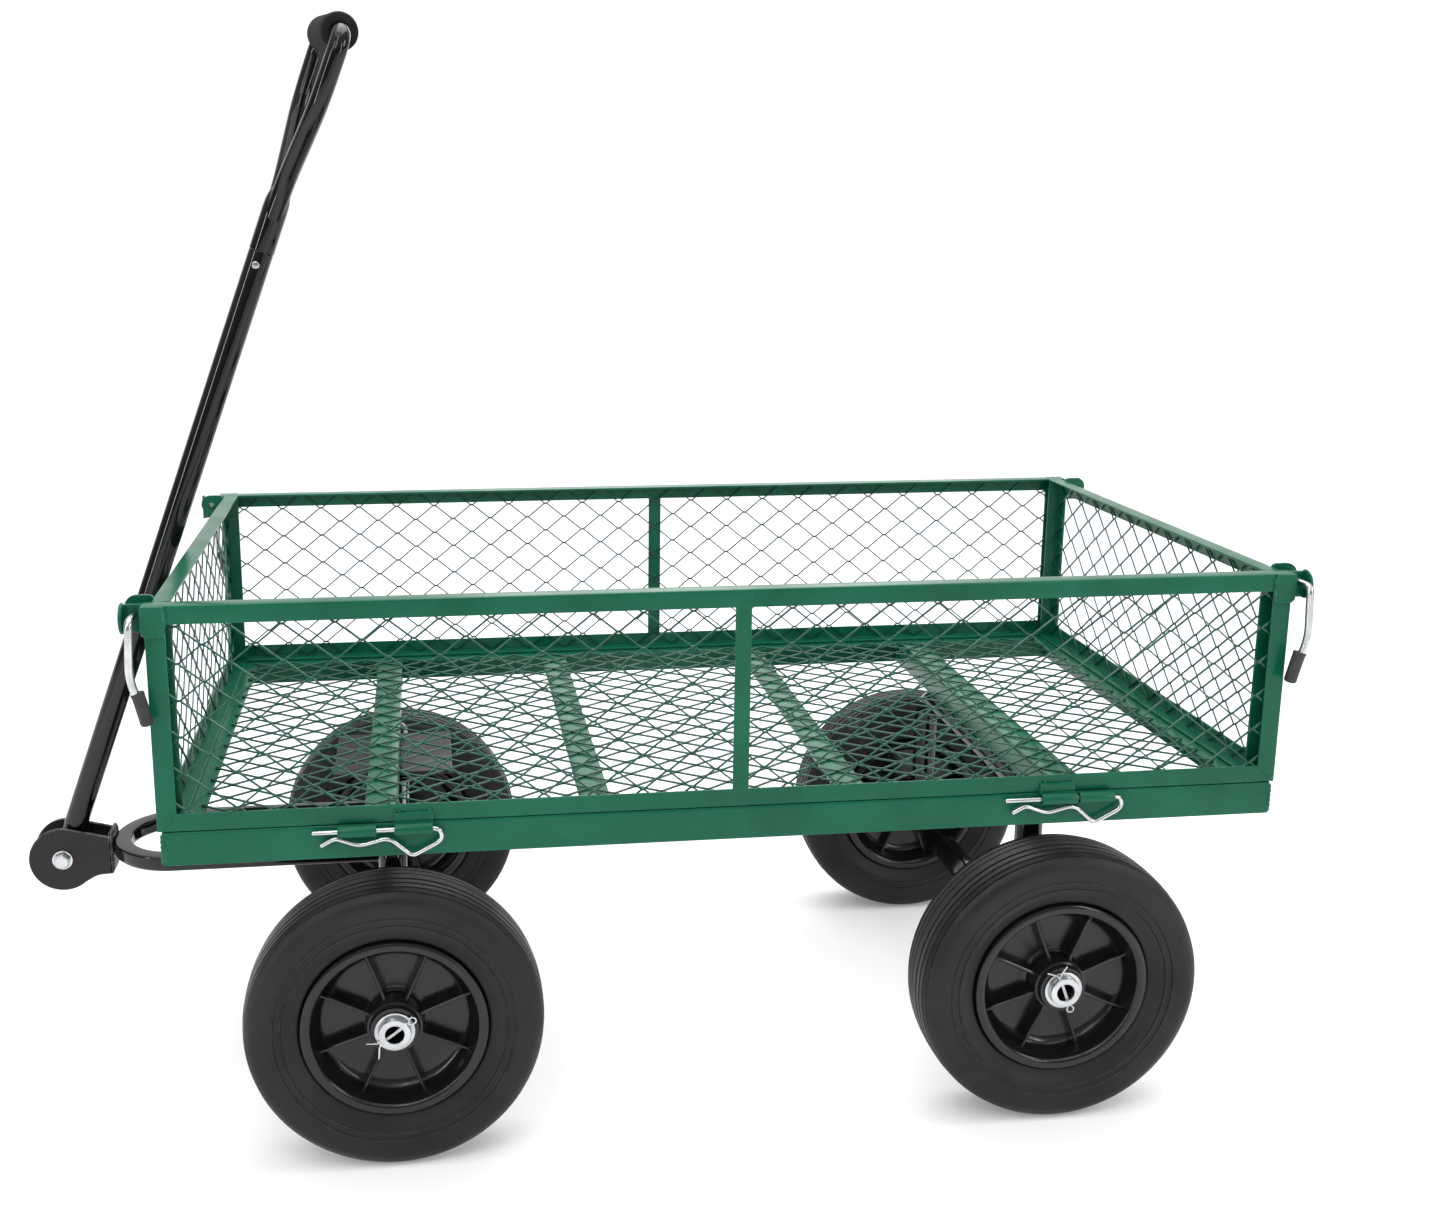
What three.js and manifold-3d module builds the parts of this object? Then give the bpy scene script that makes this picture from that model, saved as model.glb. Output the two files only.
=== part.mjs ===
// Steel garden cart with folding mesh sides, a steered front axle and a pull handle.
// Millimetres, +Z up. +X runs to the rear of the cart, the handle is at -X, the ground is z = 0.

import * as THREE from 'three';
import { mergeVertices } from 'three/addons/utils/BufferGeometryUtils.js';
import Module from 'manifold-3d';

const wasm = await Module();
wasm.setup();

// Driving dimensions of the bed and its sides
const BED_LENGTH = 940;
const BED_WIDTH = 494.8;
const SIDE_TOP = 499.9;
const BED_BOTTOM = 285;
const BED_TOP = 313.5;
const RAIL_WALL = 2.5;
const RAIL_FLANGE = 28;
const GAP = 0.3;
const SIDE_BOTTOM = BED_TOP + 0.4;
const SIDE_DEPTH = 15;
const SIDE_WALL = 2;
const SIDE_FACE = 15;
const POST_FACE = 16;
const MIDDLE_POST_FACE = 13.5;
const LONG_SIDE_LENGTH = 947;
const END_SIDE_LENGTH = 463;
const MESH_THICKNESS = 1.2;
const STRIP_X = [-298, -118, 104, 298];
const STRIP_WIDTH = 26;
const STRIP_THICKNESS = 3.2;
const FLOOR_HALF = { x: 452, y: 229 };
const BEAM_BOTTOM = 286;
const BEAM_WALL = 2;

// Hinges: a barrel on the bed, a barrel on the side, and a wire clip whose long leg is the pin
const BARREL_RADIUS = 5;
const BARREL_BORE = 2.6;
const BARREL_LENGTH = 31;
const HINGE_Z = 309.6;
const HINGE_OUT = 5.3;
const CLIP_WIRE = 1.9;

// Corner latches: a cap plate and a lug on each end of a long side, and an ear on each end frame
const LATCH_OUT = 12.5;
const LATCH_Z = 491;
const LATCH_ROD = 3.2;
const CAP_OVER = 2.3;
const CAP_LENGTH = 18;
const CAP_HEIGHT = 25;
const CAP_PLATE = 1.8;
const LUG_REACH = 9;
const LUG_THICKNESS = 3;
const EAR_DISC = 12.5;
const EAR_DISC_THICKNESS = 2.5;
const END_EAR_OFFSET = 220;
const END_EAR_RADIUS = 9.5;
const END_EAR_RAISE = 2.5;
const END_EAR_THICKNESS = 3;
const TIP_RADIUS = 5.2;

// Wheels and axles
const WHEEL_RADIUS = 127;
const TYRE_WIDTH = 63;
const TYRE_INNER = 79;
const WHEEL_Y = 217.5;
const RIBS = 8;
const AXLE_RADIUS = 13.5;
const AXLE_BORE = 8;
const AXLE_HALF = 253;
const COTTER_Y = 249.6;
const COTTER_ANGLES = { front: -0.62, rear: 1.05 };
const FRONT_AXLE_X = -291;
const REAR_AXLE_X = 294;
const LEG_Y = 150;
const LEG_RADIUS = 12.5;
const BEND = 26;

// Turntable between the bed and the front axle frame
const PLATE_HALF = 55;
const PLATE_BOTTOM = 281.7;
const DISC_RADIUS = 50;
const DISC_TOP = 278.1;
const DISC_THICKNESS = 4.5;
const FRONT_CROSS_Z = 262;
const PIN_RADIUS = 7.7;

// Tow bar, clevis and handle
const TOW_Z = 206;
const TOW_SECTION = 16;
const TOW_HEIGHT = 15;
const TOW_HALF = 54;
const PIVOT = { x: -605, z: 196.6 };
const CLEVIS_RADIUS = 31;
const CLEVIS_TAIL = 46;
const CLEVIS_GAP = 12;
const CLEVIS_WALL = 3;
const HANDLE_LEAN = THREE.MathUtils.degToRad(20.3);
const HANDLE_TWIST = THREE.MathUtils.degToRad(12);
const HANDLE_RADIUS = 11;
const HANDLE_JOINT = 604;
const HANDLE_NECK = 655;
const HANDLE_REACH = 805;
const LOOP_RADIUS = 8.5;
const GRIP_RADIUS = 16.5;
const GRIP_HALF = 45;

// The origin is under the middle of the whole outline
const REAR_END = BED_LENGTH / 2 + LATCH_OUT + 10.25;
const CENTRE_X = -(PIVOT.x - CLEVIS_RADIUS + REAR_END) / 2;

const paint = (color, roughness, metalness) => ({ color, roughness, metalness });
const GREEN = paint(0x1a6449, 0.4, 0.2);
const BLACK = paint(0x101012, 0.25, 0.3);
const CLEVIS_BLACK = paint(0x2c2625, 0.5, 0.4);
const ZINC = paint(0xb9bcbd, 0.3, 0.9);
const RUBBER = paint(0x252527, 0.85, 0);
const FOAM = paint(0x1c1c1e, 0.9, 0);
const PLASTIC = paint(0x131315, 0.3, 0);

// A closed solid for booleans, from any closed three.js geometry
function solid(geometry) {
  const bare = geometry.clone();
  bare.deleteAttribute('normal');
  bare.deleteAttribute('uv');
  const merged = mergeVertices(bare, 1e-4);
  return new wasm.Manifold(new wasm.Mesh({
    numProp: 3,
    vertProperties: new Float32Array(merged.attributes.position.array),
    triVerts: new Uint32Array(merged.index.array),
  }));
}

function geometryOf(manifold) {
  const mesh = manifold.getMesh();
  const geometry = new THREE.BufferGeometry();
  geometry.setAttribute('position', new THREE.BufferAttribute(mesh.vertProperties, 3));
  geometry.setIndex(new THREE.BufferAttribute(mesh.triVerts, 1));
  return geometry;
}

function join(shapes, cuts = []) {
  let whole = solid(shapes[0]);
  for (const shape of shapes.slice(1)) {
    whole = whole.add(solid(shape));
  }
  for (const cut of cuts) {
    whole = whole.subtract(solid(cut));
  }
  return geometryOf(whole);
}

// A box between two values on each axis
function block([x0, x1], [y0, y1], [z0, z1]) {
  const box = new THREE.BoxGeometry(Math.abs(x1 - x0), y1 - y0, z1 - z0);
  return box.translate((x0 + x1) / 2, (y0 + y1) / 2, (z0 + z1) / 2);
}

function cylinder(radius, length, axis, segments = 24) {
  const shape = new THREE.CylinderGeometry(radius, radius, length, segments);
  if (axis === 'x') {
    shape.rotateZ(Math.PI / 2);
  }
  if (axis === 'z') {
    shape.rotateX(Math.PI / 2);
  }
  return shape;
}

// A ring about the Y axis from points of radius and height, closed on itself
function lathe(points, segments = 32) {
  const outline = [...points, points[0]].map(([radius, height]) => new THREE.Vector2(radius, height));
  return new THREE.LatheGeometry(outline, segments);
}

function ring(inner, outer, length, segments = 24) {
  const half = length / 2;
  return lathe([[inner, -half], [outer, -half], [outer, half], [inner, half]], segments);
}

function circle(radius, sides) {
  const shape = new THREE.Shape();
  shape.absarc(0, 0, radius, 0, Math.PI * 2);
  return new THREE.Shape(shape.getSpacedPoints(sides).slice(0, sides));
}

// A path through chosen points, one sweep step for each
class Route extends THREE.Curve {
  constructor(points) {
    super();
    this.points = points;
  }

  getPointAt(t) {
    return this.points[Math.round(t * (this.points.length - 1))].clone();
  }

  getTangentAt(t) {
    const last = this.points.length - 1;
    const here = Math.round(t * last);
    const before = this.points[Math.max(here - 1, 0)];
    const after = this.points[Math.min(here + 1, last)];
    return after.clone().sub(before).normalize();
  }
}

function sweep(section, points) {
  const route = new Route(points);
  return new THREE.ExtrudeGeometry(section, {
    steps: points.length - 1, extrudePath: route, bevelEnabled: false, curveSegments: 3,
  });
}

// Straight runs joined by round bends of one size, as the points of a route
function bent(corners, reach, steps = 5) {
  const points = [corners[0]];
  for (let i = 1; i < corners.length - 1; i += 1) {
    const back = corners[i - 1].clone().sub(corners[i]).normalize();
    const on = corners[i + 1].clone().sub(corners[i]).normalize();
    const enter = corners[i].clone().addScaledVector(back, reach);
    const leave = corners[i].clone().addScaledVector(on, reach);
    points.push(...new THREE.QuadraticBezierCurve3(enter, corners[i], leave).getPoints(steps));
  }
  points.push(corners[corners.length - 1]);
  return points;
}

const at = (x, y, z) => new THREE.Vector3(x, y, z);

function part(parent, name, geometry, look) {
  const mesh = new THREE.Mesh(geometry, new THREE.MeshStandardMaterial(look));
  mesh.name = name;
  parent.add(mesh);
  return mesh;
}

const cart = new THREE.Group();
cart.position.x = CENTRE_X;

// Each side of the cart is drawn with its outward direction at -Y and then turned into place
const SIDES = {
  near: { turn: 0, out: BED_WIDTH / 2, length: LONG_SIDE_LENGTH },
  far: { turn: Math.PI, out: BED_WIDTH / 2, length: LONG_SIDE_LENGTH },
  rear: { turn: Math.PI / 2, out: BED_LENGTH / 2, length: END_SIDE_LENGTH },
  front: { turn: -Math.PI / 2, out: BED_LENGTH / 2, length: END_SIDE_LENGTH },
};
const LONG_HINGES = [{ bed: -316, side: -270.4, clip: -352 }, { bed: 309, side: 275.6, clip: 228 }];
const END_HINGES = [{ bed: -151, side: -113, clip: -191 }, { bed: 151, side: 113, clip: 69.5 }];
const isLong = (side) => side.length === LONG_SIDE_LENGTH;

function facing(side) {
  const group = new THREE.Group();
  group.rotation.z = side.turn;
  cart.add(group);
  return group;
}

function barrel(x, out, webTop, webBottom, webReach) {
  const y = -out - HINGE_OUT;
  const tube = cylinder(BARREL_RADIUS, BARREL_LENGTH, 'x', 16).translate(x, y, HINGE_Z);
  const bore = cylinder(BARREL_BORE, BARREL_LENGTH + 2, 'x', 12).translate(x, y, HINGE_Z);
  const half = BARREL_LENGTH / 2;
  const web = block([x - half, x + half], [y + 2.5, -out + webReach], [webBottom, webTop]);
  return { tube, bore, web };
}

// Bed rails: an angle with its skirt outside and its flange on top
function bedRail(side, hinges) {
  const out = side.out;
  const walls = BED_WIDTH / 2 - RAIL_WALL - GAP;
  const mid = BED_WIDTH / 2 - RAIL_FLANGE - GAP;
  const shapes = [];
  if (isLong(side)) {
    const half = BED_LENGTH / 2;
    shapes.push(block([-half, half], [-out, -out + RAIL_WALL], [BED_BOTTOM, BED_TOP]));
    shapes.push(block([-half, half], [-out, -out + RAIL_FLANGE], [BED_TOP - RAIL_WALL, BED_TOP]));
  } else {
    const under = BED_TOP - RAIL_WALL - GAP;
    shapes.push(block([-walls, walls], [-out, -out + RAIL_WALL], [BED_BOTTOM, under]));
    shapes.push(block([-mid, mid], [-out, -out + RAIL_WALL], [BED_BOTTOM, BED_TOP]));
    shapes.push(block([-mid, mid], [-out, -out + RAIL_FLANGE], [BED_TOP - RAIL_WALL, BED_TOP]));
  }
  const cuts = [];
  for (const hinge of hinges) {
    const piece = barrel(hinge.bed, out, HINGE_Z + 2.4, HINGE_Z - 2.4, 1);
    shapes.push(piece.web, piece.tube);
    cuts.push(piece.bore);
  }
  return join(shapes, cuts);
}

// The clip's outline in its own plane: along the pin, and down from it
const CLIP_OUTLINE = [
  [0, 0], [97, 0], [102.5, -2.5], [104, -7], [100, -12], [80, -23],
  [66, -11], [57, -8.2], [38, -12.5], [22, -8.2], [15, -7], [7, -11],
];

function clip(side, hinge) {
  const y = -side.out - HINGE_OUT;
  const points = CLIP_OUTLINE.map(([along, down]) => at(hinge.clip + along, y, HINGE_Z + down));
  const bends = new THREE.CatmullRomCurve3(points.slice(1), false, 'centripetal').getPoints(19);
  return sweep(circle(CLIP_WIRE, 6), [points[0], ...bends]);
}

// Side frames: four angles with their outer faces flush, and a middle post on the long ones
function sideFrame(side, hinges) {
  const half = side.length / 2;
  const face = [-side.out, -side.out + SIDE_WALL];
  const depth = [-side.out, -side.out + SIDE_DEPTH];
  const high = [SIDE_BOTTOM, SIDE_TOP];
  const shapes = [
    block([-half, half], face, [SIDE_TOP - SIDE_FACE, SIDE_TOP]),
    block([-half, half], depth, [SIDE_TOP - SIDE_WALL, SIDE_TOP]),
    block([-half, half], face, [SIDE_BOTTOM, SIDE_BOTTOM + SIDE_FACE]),
    block([-half, half], depth, [SIDE_BOTTOM, SIDE_BOTTOM + SIDE_WALL]),
  ];
  for (const end of [-1, 1]) {
    const outer = end * half;
    shapes.push(block(span(outer, outer - end * POST_FACE), face, high));
    shapes.push(block(span(outer, outer - end * SIDE_WALL), depth, high));
  }
  if (isLong(side)) {
    shapes.push(block([-MIDDLE_POST_FACE / 2, MIDDLE_POST_FACE / 2], face, high));
  }
  const cuts = [];
  for (const hinge of hinges) {
    const low = barrel(hinge.side, side.out, HINGE_Z + 12.4, HINGE_Z, -GAP);
    const strap = block(
      [hinge.side - BARREL_LENGTH / 2, hinge.side + BARREL_LENGTH / 2],
      [-side.out - HINGE_OUT + 2.5, -side.out + 1],
      [SIDE_BOTTOM + 2, HINGE_Z + 12.4],
    );
    shapes.push(low.web, low.tube, strap);
    cuts.push(low.bore);
  }
  const corners = isLong(side) ? latchBracket(side) : endEars(side);
  shapes.push(...corners.shapes);
  cuts.push(...corners.cuts);
  return join(shapes, cuts);
}

// The two values in rising order
const span = (a, b) => [Math.min(a, b), Math.max(a, b)];

// A plate that wraps the corner of a long side, with a lug for the rod and a round ear outside it.
// The ear is cut off in line with the lug, so that the end of the cart can fold out past it.
function latchBracket(side) {
  const shapes = [];
  const cuts = [];
  const rodX = BED_LENGTH / 2 + LATCH_OUT;
  const outerX = rodX + LUG_REACH;
  const capX = side.length / 2 + CAP_OVER;
  const capY = -side.out - CAP_PLATE;
  const lug = [-side.out + SIDE_DEPTH - LUG_THICKNESS, -side.out + SIDE_DEPTH];
  const capZ = [SIDE_TOP - CAP_HEIGHT, SIDE_TOP];
  const lugZ = [SIDE_TOP - CAP_HEIGHT + 1.5, SIDE_TOP - 0.8];
  for (const end of [-1, 1]) {
    shapes.push(block(span(end * capX, end * (capX - CAP_LENGTH)), [capY, -side.out + 1], capZ));
    shapes.push(block(span(end * capX, end * (capX - 4)), [capY, lug[1]], capZ));
    shapes.push(block(span(end * (capX - 1), end * outerX), lug, lugZ));
    const ear = cylinder(EAR_DISC, EAR_DISC_THICKNESS, 'x', 24);
    shapes.push(ear.translate(end * outerX, lug[0] + 0.4, SIDE_TOP - EAR_DISC + 0.5));
    const hole = cylinder(LATCH_ROD + 0.4, 4 * LUG_THICKNESS, 'y', 12);
    cuts.push(hole.translate(end * rodX, lug[0] + LUG_THICKNESS / 2, LATCH_Z));
    const inboard = [lug[1], lug[1] + EAR_DISC];
    const earX = span(end * (outerX - EAR_DISC_THICKNESS), end * (outerX + EAR_DISC_THICKNESS));
    cuts.push(block(earX, inboard, [SIDE_TOP - 2 * EAR_DISC, SIDE_TOP + 1]));
  }
  return { shapes, cuts };
}

// Ears on an end frame, one at each end, that the latch rods line up with
function endEars(side) {
  const shapes = [];
  const cuts = [];
  const rodY = -side.out - LATCH_OUT;
  const earZ = LATCH_Z + END_EAR_RAISE;
  const half = END_EAR_THICKNESS / 2;
  for (const end of [-1, 1]) {
    const x = end * END_EAR_OFFSET;
    const stem = [earZ - END_EAR_RADIUS - 2, earZ + END_EAR_RADIUS - 3];
    shapes.push(block([x - half, x + half], [rodY, -side.out + 1], stem));
    shapes.push(cylinder(END_EAR_RADIUS, END_EAR_THICKNESS, 'x', 20).translate(x, rodY, earZ));
    const hole = cylinder(LATCH_ROD + 1.2, 4 * END_EAR_THICKNESS, 'x', 12);
    cuts.push(hole.translate(x, rodY, LATCH_Z));
  }
  return { shapes, cuts };
}

function sideMesh(side) {
  const inset = SIDE_WALL + GAP;
  const half = side.length / 2 - inset;
  const outer = -side.out + inset;
  const high = [SIDE_BOTTOM + inset, SIDE_TOP - inset];
  return block([-half, half], [outer, outer + MESH_THICKNESS], high);
}

// The latch lever: from inside the lug across, down outside the cart, and in towards it at the end
function latchPath(side, end) {
  const x = BED_LENGTH / 2 + LATCH_OUT;
  const inner = -side.out + SIDE_DEPTH + GAP / 2;
  const outer = -side.out - 11.5;
  return {
    rod: bent([
      at(end * x, inner, LATCH_Z),
      at(end * x, outer, LATCH_Z),
      at(end * (x + 2), outer, LATCH_Z - 44),
      at(end * (x - 5), outer + 1.5, LATCH_Z - 71),
    ], 7, 4),
    tip: [
      at(end * (x - 3.2), outer + 1.1, LATCH_Z - 58),
      at(end * (x - 9.2), outer + 2.4, LATCH_Z - 84),
    ],
  };
}

for (const [name, side] of Object.entries(SIDES)) {
  const group = facing(side);
  const hinges = isLong(side) ? LONG_HINGES : END_HINGES;
  part(group, `bed_rail_${name}`, bedRail(side, hinges), GREEN);
  part(group, `${name}_side_frame`, sideFrame(side, hinges), GREEN);
  part(group, `${name}_side_mesh`, sideMesh(side), GREEN);
  for (const [index, hinge] of hinges.entries()) {
    part(group, `${name}_hinge_clip_${index + 1}`, clip(side, hinge), ZINC);
  }
  if (isLong(side)) {
    for (const end of [-1, 1]) {
      const where = end * Math.cos(side.turn) < 0 ? 'front' : 'rear';
      const { rod, tip } = latchPath(side, end);
      const cover = sweep(circle(TIP_RADIUS, 10), tip);
      const lever = join([sweep(circle(LATCH_ROD, 10), rod)], [sweep(circle(TIP_RADIUS + GAP, 10), tip)]);
      part(group, `latch_rod_${where}_${name}`, lever, ZINC);
      part(group, `latch_tip_${where}_${name}`, cover, RUBBER);
    }
  }
}

// Floor: flat strips between the rails, and the mesh sheet on them
for (const [index, x] of STRIP_X.entries()) {
  const half = BED_WIDTH / 2 - RAIL_FLANGE - GAP;
  const across = [x - STRIP_WIDTH / 2, x + STRIP_WIDTH / 2];
  const strip = block(across, [-half, half], [BED_TOP - STRIP_THICKNESS, BED_TOP]);
  part(cart, `floor_strip_${index + 1}`, strip, GREEN);
}
const floorZ = [BED_TOP + GAP, BED_TOP + GAP + MESH_THICKNESS];
const { x: floorX, y: floorY } = FLOOR_HALF;
part(cart, 'floor_mesh', block([-floorX, floorX], [-floorY, floorY], floorZ), GREEN);

// Cross beams under the first and last strips: square tubes open at both ends
const BEAM_TOP = BED_TOP - STRIP_THICKNESS - GAP;
function beam(x) {
  const half = BED_WIDTH / 2 - RAIL_WALL - GAP;
  const wide = STRIP_WIDTH / 2;
  const inner = wide - BEAM_WALL;
  const shapes = [block([x - wide, x + wide], [-half, half], [BEAM_BOTTOM, BEAM_TOP])];
  const hollowZ = [BEAM_BOTTOM + BEAM_WALL, BEAM_TOP - BEAM_WALL];
  const hollow = block([x - inner, x + inner], [-half - 1, half + 1], hollowZ);
  return { shapes, hollow };
}
const frontBeam = beam(STRIP_X[0]);
const plateX = [FRONT_AXLE_X - PLATE_HALF, FRONT_AXLE_X + PLATE_HALF];
const plate = block(plateX, [-PLATE_HALF, PLATE_HALF], [PLATE_BOTTOM, BEAM_BOTTOM + 0.5]);
part(cart, 'front_cross_beam', join([...frontBeam.shapes, plate], [frontBeam.hollow]), GREEN);
const rearBeam = beam(STRIP_X[3]);
part(cart, 'rear_cross_beam', join(rearBeam.shapes, [rearBeam.hollow]), GREEN);

// Axles: hollow tubes with a hole across each end for the cotter pin
function cotterTurn(shape, end) {
  return shape.rotateY(COTTER_ANGLES[end]);
}

function axle(end) {
  const holes = [-1, 1].map((sign) => {
    const hole = cotterTurn(cylinder(1.9, 40, 'x', 10), end);
    return hole.translate(0, sign * COTTER_Y, 0);
  });
  return join([ring(AXLE_BORE, AXLE_RADIUS, 2 * AXLE_HALF, 28)], holes);
}

// A cotter pin: an eye, a straight shank through the axle and a bent leg
function cotter() {
  const eye = [at(22, 0, 1.6), at(24.5, 0, 2.6), at(27, 0, 1.6), at(27.8, 0, -0.6), at(26, 0, -2.4)];
  return sweep(circle(1.3, 6), [at(-24, -1.5, -5), at(-15, 0, 0), at(19.5, 0, 0), ...eye]);
}

// Axle frame: an inverted U of round tube that stands on the axle
function axleFrame(top) {
  const points = bent([
    at(0, -LEG_Y, WHEEL_RADIUS),
    at(0, -LEG_Y, top),
    at(0, LEG_Y, top),
    at(0, LEG_Y, WHEEL_RADIUS),
  ], BEND);
  return sweep(circle(LEG_RADIUS, 14), points);
}

const axleCut = () => cylinder(AXLE_RADIUS + GAP, 2 * AXLE_HALF, 'y', 28).translate(0, 0, WHEEL_RADIUS);

function addAxle(end, x, frame) {
  const group = new THREE.Group();
  group.position.x = x;
  cart.add(group);
  part(group, `${end}_axle_frame`, frame, BLACK);
  part(group, `${end}_axle`, axle(end), ZINC).position.z = WHEEL_RADIUS;
  for (const [sideName, sign] of [['near', -1], ['far', 1]]) {
    const pin = cotter();
    if (sign > 0) {
      pin.rotateZ(Math.PI);
    }
    cotterTurn(pin, end);
    const mesh = part(group, `cotter_pin_${end}_${sideName}`, pin, ZINC);
    mesh.position.set(0, sign * COTTER_Y, WHEEL_RADIUS);
    const hub = at(0, sign * WHEEL_Y, WHEEL_RADIUS);
    part(group, `tyre_${end}_${sideName}`, tyre(), RUBBER).position.copy(hub);
    part(group, `rim_${end}_${sideName}`, rim(), PLASTIC).position.copy(hub);
  }
}

function tyre() {
  const half = TYRE_WIDTH / 2;
  const outer = [
    [TYRE_INNER, half - 5],
    [WHEEL_RADIUS - 26, half - 1.5],
    [WHEEL_RADIUS - 12, half],
    [WHEEL_RADIUS - 4, half - 3],
    [WHEEL_RADIUS, half - 11],
  ];
  const inner = outer.map(([radius, height]) => [radius, -height]).reverse();
  return lathe([...outer, ...inner].reverse(), 32);
}

function rim() {
  const bore = AXLE_RADIUS + GAP;
  const barrelOut = TYRE_INNER - GAP;
  const boss = 28.5;
  const web = 4;
  const lip = 27;
  const outer = [[bore, boss], [23, boss], [24, web], [66, web], [67.5, lip], [barrelOut, lip]];
  const inner = outer.map(([radius, height]) => [radius, -height]).reverse();
  const shapes = [lathe([...outer, ...inner].reverse(), 32)];
  for (let i = 0; i < RIBS; i += 1) {
    const rib = block([22, 69], [-16, 16], [-1.6, 1.6]);
    shapes.push(rib.rotateY(0.35 + i * 2 * Math.PI / RIBS));
  }
  return join(shapes);
}

addAxle('rear', REAR_AXLE_X, join([axleFrame(BEAM_BOTTOM - GAP - LEG_RADIUS)], [axleCut()]));

// The front frame adds a turntable disc, a sleeve for the kingpin and a cross tube for the tow bar
const disc = cylinder(DISC_RADIUS, DISC_THICKNESS, 'z', 32);
const frontFrame = join([
  axleFrame(FRONT_CROSS_Z),
  disc.translate(0, 0, DISC_TOP - DISC_THICKNESS / 2),
  cylinder(14, 28, 'z', 20).translate(0, 0, FRONT_CROSS_Z),
  cylinder(10, 2 * LEG_Y, 'y', 14).translate(0, 0, TOW_Z),
], [axleCut(), cylinder(PIN_RADIUS + 0.5, 60, 'z', 20).translate(0, 0, FRONT_CROSS_Z)]);
addAxle('front', FRONT_AXLE_X, frontFrame);

// Kingpin: a stud with a flange between the disc and the bed's plate, and its nut below the sleeve
const FLANGE = 3;
const NUT = 10;
const kingpin = join([
  cylinder(20, FLANGE, 'z', 24).translate(0, 0, DISC_TOP + GAP + FLANGE / 2),
  cylinder(PIN_RADIUS, 50, 'z', 18).translate(0, 0, FRONT_CROSS_Z - 6),
  cylinder(13, NUT, 'z', 6).translate(0, 0, FRONT_CROSS_Z - 14 - 0.6 - NUT / 2),
]);
part(cart, 'kingpin', kingpin, ZINC).position.x = FRONT_AXLE_X;

// Tow bar: a flat loop from the front axle frame, round in front of the bed
const towStart = FRONT_AXLE_X - 10 - GAP;
const towBend = PIVOT.x + CLEVIS_TAIL + GAP + TOW_SECTION / 2 + TOW_HALF;
const towArc = new THREE.EllipseCurve(0, 0, TOW_HALF, TOW_HALF, -Math.PI / 2, Math.PI / 2, true);
const towPoints = [
  at(towStart, -TOW_HALF, TOW_Z),
  ...towArc.getSpacedPoints(16).map((p) => at(towBend + p.x, p.y, TOW_Z)),
  at(towStart, TOW_HALF, TOW_Z),
];
const towSection = new THREE.Shape();
const [towH, towW, corner] = [TOW_HEIGHT / 2, TOW_SECTION / 2, 4];
towSection.moveTo(-towH, -towW + corner);
towSection.lineTo(-towH, towW - corner);
towSection.quadraticCurveTo(-towH, towW, -towH + corner, towW);
towSection.lineTo(towH - corner, towW);
towSection.quadraticCurveTo(towH, towW, towH, towW - corner);
towSection.lineTo(towH, -towW + corner);
towSection.quadraticCurveTo(towH, -towW, towH - corner, -towW);
towSection.lineTo(-towH + corner, -towW);
towSection.quadraticCurveTo(-towH, -towW, -towH, -towW + corner);
part(cart, 'tow_bar', sweep(towSection, towPoints), BLACK);

// Clevis: two round plates and the web between their tails
function clevisEar(y) {
  const outline = new THREE.Shape();
  outline.moveTo(CLEVIS_TAIL, 20);
  outline.lineTo(10, 29.3);
  outline.absarc(0, 0, CLEVIS_RADIUS, 1.242, -0.78, false);
  outline.lineTo(31, -17);
  outline.lineTo(CLEVIS_TAIL, -16.5);
  const ear = new THREE.ExtrudeGeometry(outline, {
    depth: CLEVIS_WALL, bevelEnabled: false, curveSegments: 28,
  });
  return ear.rotateX(Math.PI / 2).translate(0, y, 0);
}
const clevis = join([
  clevisEar(-CLEVIS_GAP),
  clevisEar(CLEVIS_GAP + CLEVIS_WALL),
  block([CLEVIS_TAIL - CLEVIS_WALL, CLEVIS_TAIL], [-CLEVIS_GAP - 1, CLEVIS_GAP + 1], [-16.5, 20]),
], [cylinder(5.3, 60, 'y', 16)]);
part(cart, 'clevis', clevis, CLEVIS_BLACK).position.set(PIVOT.x, 0, PIVOT.z);
const earOut = CLEVIS_GAP + CLEVIS_WALL;
const bolt = join([
  cylinder(5, 2 * earOut + 14, 'y', 16).translate(0, 4, 0),
  cylinder(8, 5.5, 'y', 6).translate(0, -earOut - GAP - 2.75, 0),
  cylinder(8, 6.5, 'y', 6).translate(0, earOut + GAP + 3.25, 0),
]);
part(cart, 'clevis_bolt', bolt, ZINC).position.set(PIVOT.x, 0, PIVOT.z);

// Handle, drawn upright from its pivot and then leant back
const handle = new THREE.Group();
handle.position.set(PIVOT.x, 0, PIVOT.z);
handle.rotation.y = HANDLE_LEAN;
cart.add(handle);
const SLEEVE = 14;
part(handle, 'handle_pivot_sleeve', ring(5.3, SLEEVE, 2 * (CLEVIS_GAP - GAP), 24), BLACK);
const lowerTube = ring(HANDLE_RADIUS - 1.5, HANDLE_RADIUS, HANDLE_JOINT - SLEEVE / 2, 20);
lowerTube.rotateX(Math.PI / 2).translate(0, 0, HANDLE_JOINT / 2 + SLEEVE / 4);
const sleeveCut = cylinder(SLEEVE + GAP, 60, 'y', 24);
part(handle, 'handle_lower_tube', join([lowerTube], [sleeveCut]), BLACK);
const upper = new THREE.Group();
upper.rotation.z = HANDLE_TWIST;
handle.add(upper);
const neckLength = HANDLE_NECK - HANDLE_JOINT - GAP;
const neck = cylinder(HANDLE_RADIUS, neckLength, 'z', 20).translate(0, 0, HANDLE_NECK - neckLength / 2);
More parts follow.
